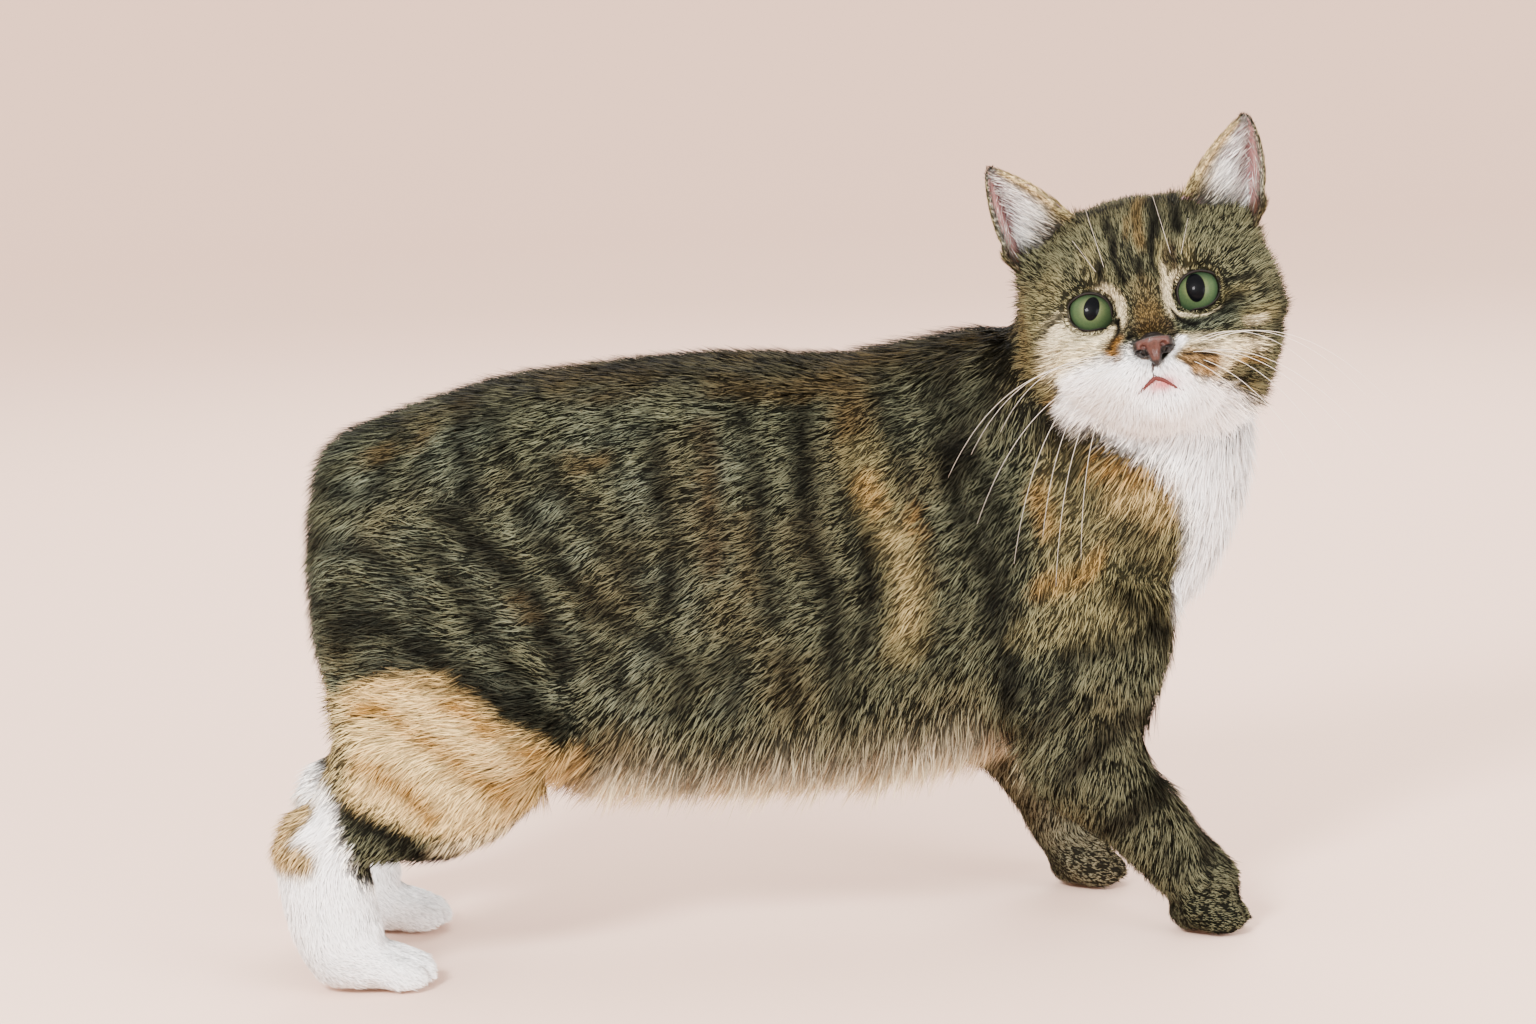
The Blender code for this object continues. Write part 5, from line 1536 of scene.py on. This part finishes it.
def makeNose():
    nose = remeshed("noseLeather", ["nose"], noseShape["fineness"])
    mesh = nose.data
    pairs = edgePairs(mesh)
    points = spread(vertexPoints(mesh), pairs, 6)
    setVertexPoints(mesh, points)
    local = headLocal(points)
    # comma-shaped nostrils, pressed in, and the top edge that the fur of the bridge overlaps
    across, down = local[:, 1], local[:, 2]
    pressed = np.zeros(len(local))
    for side in (-1, 1):
        out, up = side * across - noseShape["nostril"][0], down - noseShape["nostril"][1]
        wide, high = noseShape["nostrilHalf"]
        hole = np.hypot(out / wide, (up - noseShape["nostrilSlope"] * out) / high)
        out, up = side * across - noseShape["tail"][0], down - noseShape["tail"][1]
        wide, high = noseShape["tailHalf"]
        tail = np.hypot(out / wide, up / high)
        pressed = np.maximum(pressed, 1 - smoothStep(0.50, 1.20, np.minimum(hole, tail)))
    groove = np.exp(-(across / noseShape["grooveWidth"]) ** 2) * smoothStep(-0.0225, -0.0250, down)
    sunk = smoothStep(-0.0206, -0.0180, down + 0.03 * np.abs(across))
    depths = ((pressed, "nostrilDepth"), (groove, "grooveDepth"), (sunk, "topDepth"))
    local[:, 0] -= sum(mask * noseShape[depth] for mask, depth in depths)
    setVertexPoints(mesh, placed(local, headPlace))
    # the pink of the pad: a bar across the top with a stem down between the nostrils
    bar = smoothStep(*noseShape["barHeights"], down) * smoothStep(*noseShape["barEnds"], np.abs(across))
    stemWidth = np.interp(down, noseShape["stemHeights"], noseShape["stemWidths"])
    stem = smoothStep(stemWidth * 1.3, stemWidth * 0.8, np.abs(across)) * smoothStep(-0.0296, -0.0286, down)
    edge = 1 - 0.96 * np.maximum(bar, stem) * smoothStep(-0.0198, -0.0206, down)
    storeAttribute(mesh, "edge", edge)
    storeAttribute(mesh, "nostril", pressed)
    mesh.shade_smooth()
    material, tree, shader = newMaterial("noseLeather", 0.50, 0.3, 0.05)
    speckle = ramp(tree, objectNoise(tree, 620.0, 2.0), 0.52, 0.70, 0.0, 0.35)
    pad = mixColour(tree, speckle, noseColours["pad"], noseColours["edge"])
    pad = mixColour(tree, attributeNode(tree, "edge"), pad, noseColours["edge"])
    # painted shade: the pressed-in nostrils are darkened to near black
    pad = mixColour(tree, attributeNode(tree, "nostril"), pad, noseColours["nostril"])
    tree.links.new(pad, shader.inputs["Base Color"])
    addBump(tree, shader, objectNoise(tree, 2100.0, 1.0), 0.35, 0.0002)
    mesh.materials.append(material)
    unwrapped(nose, 0.01)
    return nose


def tube(path, radii, sides=10):
    # a closed round tube along points, with a radius at each
    path, radii = np.array(path, float), np.array(radii, float)
    ahead = unit(np.gradient(path, axis=0))
    side = unit(np.cross(ahead, (0.13, 0.27, 0.95)))
    up = np.cross(side, ahead)
    turns = np.linspace(0, 2 * math.pi, sides, endpoint=False)
    outward = np.cos(turns)[None, :, None] * side[:, None] + np.sin(turns)[None, :, None] * up[:, None]
    rings = path[:, None] + radii[:, None, None] * outward
    points = list(rings.reshape(-1, 3)) + [path[0], path[-1]]
    faces = ringFaces(len(path), sides)
    last = (len(path) - 1) * sides
    faces += [(len(points) - 2, (j + 1) % sides, j) for j in range(sides)]
    faces += [(len(points) - 1, last + j, last + (j + 1) % sides) for j in range(sides)]
    return points, faces


def joined(name, parts):
    points, faces = [], []
    for partPoints, partFaces in parts:
        faces += [tuple(i + len(points) for i in f) for f in partFaces]
        points += list(partPoints)
    return meshFrom(name, points, faces)


def smoothPath(places, count):
    places = np.array(places, float)
    steps = np.linspace(0, len(places) - 1, count)
    index = np.clip(steps.astype(int), 0, len(places) - 2)
    t = (steps - index)[:, None]
    padded = np.vstack((2 * places[0] - places[1], places, 2 * places[-1] - places[-2]))
    a, b, c, d = (padded[index + k] for k in range(4))
    bend = (2 * a - 5 * b + 4 * c - d) * t ** 2
    return 0.5 * (2 * b + (c - a) * t + bend + (3 * b - a - 3 * c + d) * t ** 3)


mouth = {
    # the parting under the nose and the lips' lines: to the cat's left and up
    "split": ((-0.0012, -0.0278), (-0.0018, -0.0305), (-0.0020, -0.0345)),
    "right": ((-0.0018, -0.0352), (-0.0042, -0.0367), (-0.0078, -0.0389), (-0.0107, -0.0411),
              (-0.0125, -0.0428)),
    "left": ((-0.0018, -0.0352), (0.0012, -0.0367), (0.0040, -0.0391), (0.0066, -0.0411),
             (0.0098, -0.0422)),
    "splitRadius": 0.00050,
    "lipRadius": 0.00095,
    "proud": 0.0011,
}
skinFaces = [tuple(p.vertices) for p in skin.data.polygons]
skinTree = BVHTree.FromPolygons([tuple(p) for p in skinPoints], skinFaces)


def onFace(line):
    # the places of a line, just proud of the skin
    ahead = (headPlace.to_3x3() @ Vector((-1, 0, 0))).normalized()
    hits = [skinTree.ray_cast(headPlace @ Vector((0.10, y, z)), ahead)[0] for y, z in line]
    return [np.array(hit) - np.array(ahead) * mouth["proud"] for hit in hits]


def makeMouth():
    split = tube(smoothPath(onFace(mouth["split"]), 12), [mouth["splitRadius"]] * 12)
    lines = []
    for side in ("right", "left"):
        taper = mouth["lipRadius"] * np.linspace(1.0, 0.25, 24)
        lines.append(tube(smoothPath(onFace(mouth[side]), 24), taper))
    # the parting under the nose is dark as painted shade of the cleft; the lips' colour is their own
    looks = {"mouthSplit": (srgb(40, 26, 22), 0.5), "lips": (srgb(74, 34, 32), 0.60, 0.15)}
    pieces = []
    for name, parts in (("mouthSplit", [split]), ("lips", lines)):
        pieces.append(finished(facedOutward(joined(name, parts)), plainMaterial(name, *looks[name])))
    return pieces


nose = makeNose()
mouthPieces = makeMouth()
print("nose and mouth done")

# Ears

earShape = {
    "tip": (-0.030, 0.0530, 0.0712),
    "innerRoot": (-0.026, 0.0226, 0.0432),
    "outerRoot": (-0.034, 0.0470, 0.0245),
    "backRoot": (-0.058, 0.0405, 0.0310),
    "lean": 0.020,
    "outerBow": (0.0032, 0.0050),  # the right ear's, the left ear's
    "innerBow": 0.0016,
    "backBow": 0.0060,
    "sunkBelow": 0.12,
    "rows": 44,
    "columns": 36,
    "wallAtRoot": 0.0020,
    "wallAtRim": 0.0009,
}
earColours = {
    "inner": srgb(122, 92, 96),
    "outerWall": srgb(176, 122, 118),
    "pocket": srgb(88, 56, 40),
    "shade": srgb(84, 62, 66),
    "back": srgb(84, 76, 54),
}


def earPoint(side, up, across):
    # both ears lean a little to the cat's left, as the head does
    corners = []
    for x, y, z in (earShape[k] for k in ("tip", "innerRoot", "outerRoot", "backRoot")):
        corners.append(Vector((x, side * y + earShape["lean"] * (z + 0.03), z)))
    tip, inner, outer, back = corners
    bulge, bow = math.sin(math.pi * across), math.sin(math.pi * up)
    middle = inner.lerp(outer, 0.5)
    root = inner.lerp(outer, across) + (back - middle) * bulge
    outerBow = earShape["outerBow"][side > 0] * across * bow ** 0.7
    innerBow = earShape["innerBow"] * (1 - across) * bow
    backBow = earShape["backBow"] * bulge * bow
    edge = Vector((-backBow, side * (outerBow - innerBow), 0.0006 * bow * (1 - across)))
    point = middle.lerp(tip, up) + (root - middle) * (1 - up) ** 0.80 + edge
    # the fold of the outer edge, low down
    fold = math.exp(-((up - 0.20) / 0.07) ** 2) * math.exp(-((across - 0.97) / 0.10) ** 2)
    point += Vector((0.0022, side * 0.0018, 0)) * fold
    if up < earShape["sunkBelow"]:
        point -= Vector((0, side * 0.007, 0.008)) * (1 - up / earShape["sunkBelow"])
    return point


def makeEar(side, name):
    rows, columns = earShape["rows"], earShape["columns"]
    ups = np.linspace(0, 0.985, rows)
    acrosses = np.linspace(0, 1, columns)
    grid = np.array([[earPoint(side, u, a) for a in acrosses] for u in ups])
    normal = unit(np.cross(np.gradient(grid, axis=1), np.gradient(grid, axis=0)))
    if np.mean(normal[rows // 3:, columns // 3:2 * columns // 3, 0]) < 0:
        normal = -normal  # towards the opening
    inward = np.minimum(np.minimum(acrosses, 1 - acrosses)[None, :] * 6, (1 - ups)[:, None] * 5).clip(0, 1)
    wall = earShape["wallAtRim"] + (earShape["wallAtRoot"] - earShape["wallAtRim"]) * inward
    half = normal * wall[:, :, None] / 2
    points = np.vstack(((grid + half).reshape(-1, 3), (grid - half).reshape(-1, 3)))
    size = rows * columns
    faces = []
    for r in range(rows - 1):
        for c in range(columns - 1):
            a, b = r * columns + c, r * columns + c + 1
            faces.append((a, b, b + columns, a + columns))
            faces.append((size + b, size + a, size + a + columns, size + b + columns))
    border = [(r, 0) for r in range(rows - 1, 0, -1)] + [(0, c) for c in range(columns - 1)]
    border += [(r, columns - 1) for r in range(rows - 1)]
    border += [(rows - 1, c) for c in range(columns - 1, 0, -1)]
    loop = [r * columns + c for r, c in border]
    for i, j in zip(loop, loop[1:] + loop[:1]):
        faces.append((i, j, size + j, size + i))
    mesh = meshFrom(name, placed(points, headPlace), faces)
    places = np.tile(np.repeat(ups, columns), 2), np.tile(acrosses, rows * 2), np.repeat((1.0, 0.0), size)
    for label, values in zip(("earUp", "earAcross", "earFront"), places):
        storeAttribute(mesh, label, values)
    return finished(facedOutward(mesh), earMaterial, 0.004), *places


def makeEarMaterial():
    material, tree, shader = newMaterial("earSkin", 0.55, 0.35)
    up, across, front = (attributeNode(tree, n) for n in ("earUp", "earAcross", "earFront"))
    blotches = ramp(tree, objectNoise(tree, 260.0), 0.40, 0.70, 0.0, 0.5)
    pocket = maths(tree, "MULTIPLY", ramp(tree, up, 0.22, 0.38, 1.0, 0.0), ramp(tree, across, 0.30, 0.60))
    colour = mixColour(tree, ramp(tree, across, 0.45, 0.85), earColours["inner"], earColours["outerWall"])
    colour = mixColour(tree, blotches, colour, earColours["shade"])
    colour = mixColour(tree, pocket, colour, earColours["pocket"])
    colour = mixColour(tree, ramp(tree, front, 0.3, 0.7), earColours["back"], colour)
    tree.links.new(colour, shader.inputs["Base Color"])
    addBump(tree, shader, objectNoise(tree, 900.0), 0.3, 0.0003)
    return material


earMaterial = makeEarMaterial()
earBackHair = {"length": 5.5, "width": 0.34, "thickness": 3.8, "stand": 12}
earInnerHair = {"length": 13.5, "width": 0.46, "thickness": 0.56, "stand": 22}
earExtra = {"rim": 3.2, "foot": 2.2, "everywhere": 0.06}


def earLie(points, normals, side, isFront):
    # towards the tip, and inside the cup outwards too
    x, y, z = earShape["tip"]
    toTip = unit(np.array(headPlace @ Vector((x, side * y, z + 0.01))) - points)
    outward = headTurnArray @ np.array((0.25, side * 1.0, 0.55))
    return combed(np.where(isFront[:, None], unit(toTip * 0.35 + outward), toTip), normals)


def dressEar(ear, up, across, front, side, name):
    # short fur on the back and the rim, long pale hair from the inner edge across the cup
    points, normals = vertexPoints(ear.data), vertexNormals(ear.data)
    isFront = front > 0.5
    rim = 1 - smoothStep(0.02, 0.07, np.minimum(across, 1 - across))
    rim = np.maximum(rim, smoothStep(0.90, 0.97, up))
    rim = np.maximum(rim, 1 - smoothStep(0.03, 0.095, across))
    foot = smoothStep(0.34, 0.18, up) * smoothStep(0.62, 0.40, across)
    clumps = 0.35 + 1.3 * smoothStep(-0.25, 0.35, roughness3d(points, 0.0022, 12))
    inner = (1 - smoothStep(0.24, 0.42, across)) * between(up, 0.10, 0.18, 0.82, 0.95) * clumps
    within = earInnerHair["thickness"] * inner + earExtra["rim"] * rim + earExtra["foot"] * foot
    fronts = (
        earInnerHair["length"] * (1 - 0.55 * up) * (1 - 0.72 * rim) / 1000,
        earInnerHair["width"] / 1000,
        (within + earExtra["everywhere"]) * 1e6,
        np.radians(earInnerHair["stand"] * (1 - 0.4 * rim)),
    )
    backs = (
        earBackHair["length"] * (1 - 0.35 * up) / 1000,
        earBackHair["width"] / 1000,
        earBackHair["thickness"] * 1e6,
        math.radians(earBackHair["stand"]),
    )
    length, width, thick, stand = (np.where(isFront, *pair) for pair in zip(fronts, backs))
    thick = thick * smoothStep(0.06, 0.12, up)
    paint = Paint(len(points), "tabby")
    paint.lay("tan", np.maximum(rim, 0.5) * 0.8)
    paint.lay("dark", smoothStep(0.86, 0.96, up) * 0.8)
    paint.lay("dark", (1 - smoothStep(0.10, 0.32, up)) * ~isFront * 0.4)
    paint.lay("white", isFront * (1 - 0.9 * rim) * 0.80)
    paint.lay("cream", rim * smoothStep(0.5, 0.3, across) * (1 - smoothStep(0.88, 0.95, up)) * 0.55)
    paint.lay("tan", isFront * foot * 0.85)
    paint.lay("rust", isFront * (1 - smoothStep(0.20, 0.34, up)) * smoothStep(0.50, 0.70, across) * 0.85)
    lie = (earLie(points, normals, side, isFront), length, width, thick, stand)
    ground = groomed(name + "Ground", ear.data, paint, paint, np.zeros(len(ear.data.polygons)), lie)
    piece = coatPiece(name, ground, 0, 40 + side, Turn=0.22)
    bpy.data.objects.remove(ground)
    return piece


ears, earCoats = [], []
for side, label in ((-1, "Right"), (1, "Left")):
    ear, up, across, front = makeEar(side, "ear" + label)
    ears.append(ear)
    earCoats.append(dressEar(ear, up, across, front, side, "earHair" + label))
for kind in tuftKinds:
    bpy.data.objects.remove(kind)
print("ears done")

# Whiskers

whiskerSet = {
    "radius": 0.00010,
    "tipRadius": 0.00003,
    "browRadius": 0.00006,
    "steps": 26,
    # in each row of the muzzle; then the first one's values, and the steps along a row and to the next row
    "inRow": (3, 3, 2),
    "root": (0.0140, -0.0245),
    "rootSteps": (0.0038, 0.0036),
    "swing": (56, 11, 4),
    "climb": (10, 20),
    "length": (0.072, 0.004, 0.008),
    "fall": (-0.022, 0.008, 0.048),
    "fallLength": 0.070,
    "browFall": (-0.010, 0.0, 0.0),
}
browWhiskers = (
    # root and how it rises: out, to the cat's left, up; then its length
    ((0.001, -0.0130, 0.0160), (0.50, -0.10, 0.90), 0.027),
    ((0.000, -0.0165, 0.0150), (0.50, -0.40, 0.80), 0.017),
    ((0.001, 0.0140, 0.0160), (0.50, -0.10, 0.90), 0.026),
    ((0.000, 0.0180, 0.0150), (0.50, 0.35, 0.80), 0.016),
)


def onMuzzle(across, up):
    # where a hair leaves the skin of the muzzle
    near = np.hypot(skinLocal[:, 1] - across, skinLocal[:, 2] - up) < 0.0025
    return np.array((skinLocal[near, 0].max() - 0.0005, across, up))


def whiskerPath(root, aim, length, fall):
    t = np.linspace(0, 1, whiskerSet["steps"])[:, None]
    drop = np.array(fall) * length / whiskerSet["fallLength"]
    return root + unit(np.array(aim, float)) * length * t + drop * t ** 2


def muzzleWhisker(side, row, i):
    out, up = whiskerSet["root"]
    outStep, downStep = whiskerSet["rootSteps"]
    root = onMuzzle(side * (out + outStep * i), up - downStep * row)
    swing, swingStep, swingBack = whiskerSet["swing"]
    swing = math.radians(swing + swingStep * i - swingBack * row)
    climb = math.radians(whiskerSet["climb"][0] - whiskerSet["climb"][1] * row)
    flat = math.cos(climb)
    aim = (math.cos(swing) * flat, side * math.sin(swing) * flat, math.sin(climb))
    length, longer, shorter = whiskerSet["length"]
    length = length - shorter * row + longer * i
    # each droops by a share of its own
    droop = 0.70 + 0.55 * (0.37 * (5 * row + 3 * i + (side > 0)) % 1)
    back, inward, down = whiskerSet["fall"]
    return whiskerPath(root, aim, length, (back, -side * inward, -down * droop))


def makeWhiskers():
    steps, tip = whiskerSet["steps"], whiskerSet["tipRadius"]
    parts = []
    radii = tip + (whiskerSet["radius"] - tip) * np.linspace(1, 0, steps) ** 0.8
    for side in (-1, 1):
        for row, count in enumerate(whiskerSet["inRow"]):
            for i in range(count):
                parts.append(tube(placed(muzzleWhisker(side, row, i), headPlace), radii, 6))
    radii = np.linspace(whiskerSet["browRadius"], tip, steps)
    for root, aim, length in browWhiskers:
        path = whiskerPath(np.array(root), aim, length, whiskerSet["browFall"])
        parts.append(tube(placed(path, headPlace), radii, 6))
    hair = plainMaterial("whisker", srgb(214, 206, 194), 0.45, 0.3)
    return finished(facedOutward(joined("whiskers", parts)), hair)


whiskers = makeWhiskers()
print("whiskers done")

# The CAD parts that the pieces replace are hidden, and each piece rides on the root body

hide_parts(*fleshNodes())
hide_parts("eye_right")
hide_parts("eye_left")
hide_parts("nose")
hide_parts("ear_right")
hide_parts("ear_left")
for piece in [skin, *coatPieces, *eyes, *lids, nose, *mouthPieces, *ears, *earCoats, whiskers]:
    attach(piece, "root")

# Floor, light and camera

studio = {
    "floor": srgb(232, 200, 182),
    "air": srgb(240, 230, 222),
    "airStrength": 2.9,
    "flatRadius": 4.0,
    "sweepRadius": 2.0,
    "bends": (15, 30, 45, 60, 75, 88),
    "sides": 96,
}


def makeFloor():
    # a flat round floor that sweeps up into a low rim all round, so that no horizon shows
    sides, flat, sweep = (studio[k] for k in ("sides", "flatRadius", "sweepRadius"))
    turns = np.linspace(0, 2 * math.pi, sides, endpoint=False)
    circle = np.stack((np.cos(turns), np.sin(turns)), 1)
    profile = [(flat, 0.0)]
    for bend in np.radians(studio["bends"]):
        profile.append((flat + sweep * math.sin(bend), sweep * (1 - math.cos(bend))))
    points = [(0, 0, 0)] + [(x * r, y * r, z) for r, z in profile for x, y in circle]
    faces = [(0, 1 + i, 1 + (i + 1) % sides) for i in range(sides)]
    faces += [face[::-1] for face in ringFaces(len(profile), sides, start=1)]
    floor = newPiece("floor", meshFrom("floor", points, faces))
    floor.data.shade_smooth()
    floor.data.materials.append(plainMaterial("floor", studio["floor"], 0.9, 0.2))


def softLight(name, place, target, size, power, colour=(1, 1, 1)):
    data = bpy.data.lights.new(name, "AREA")
    data.shape = "DISK"
    data.size = size
    data.energy = power
    data.color = colour
    light = newPiece(name, data)
    light.location = place
    light.rotation_euler = (Vector(target) - Vector(place)).to_track_quat("-Z", "Y").to_euler()


def makeCamera():
    # angles in degrees, lengths in metres, focal length and picture width in the photo's pixels
    view = {
        "azimuth": -6.0,
        "elevation": 8.0,
        "roll": -2.5,
        "distance": 1.70,
        "height": 0.176,
        "focal": 4131.0,
        "pictureWidth": 1536,
    }
    az, el, roll = (math.radians(view[k]) for k in ("azimuth", "elevation", "roll"))
    target = Vector((0, 0, view["height"])) + Vector(bodyShift)
    offset = Vector((math.sin(az) * math.cos(el), -math.cos(az) * math.cos(el), math.sin(el)))
    offset *= view["distance"]
    ahead = (-offset).normalized()
    right = ahead.cross(Vector((0, 0, 1))).normalized()
    up = right.cross(ahead)
    turnedRight, turnedUp = turnedPair(right, up, roll)
    data = bpy.data.cameras.new("camera")
    data.sensor_width = 36
    data.lens = view["focal"] * data.sensor_width / view["pictureWidth"]
    camera = newPiece("camera", data)
    matrix = Matrix((turnedRight, turnedUp, -ahead)).transposed().to_4x4()
    matrix.translation = target + offset
    camera.matrix_world = matrix
    bpy.context.scene.camera = camera


def makeAir():
    world = bpy.data.worlds.new("air")
    bpy.context.scene.world = world
    world.use_nodes = True
    background = world.node_tree.nodes["Background"]
    background.inputs[0].default_value = (*studio["air"], 1)
    background.inputs[1].default_value = studio["airStrength"]


makeFloor()
makeAir()
softLight("key", (-1.0, -1.7, 1.3), (0, 0, 0.15), 0.55, 125, (1.0, 0.99, 0.975))
softLight("fill", (1.1, -1.7, 0.7), (0, 0, 0.15), 1.2, 62, (0.98, 0.99, 1.0))
softLight("back", (0.3, 1.8, 1.6), (0, 0, 0.2), 1.2, 46, (1.0, 0.99, 0.98))
makeCamera()
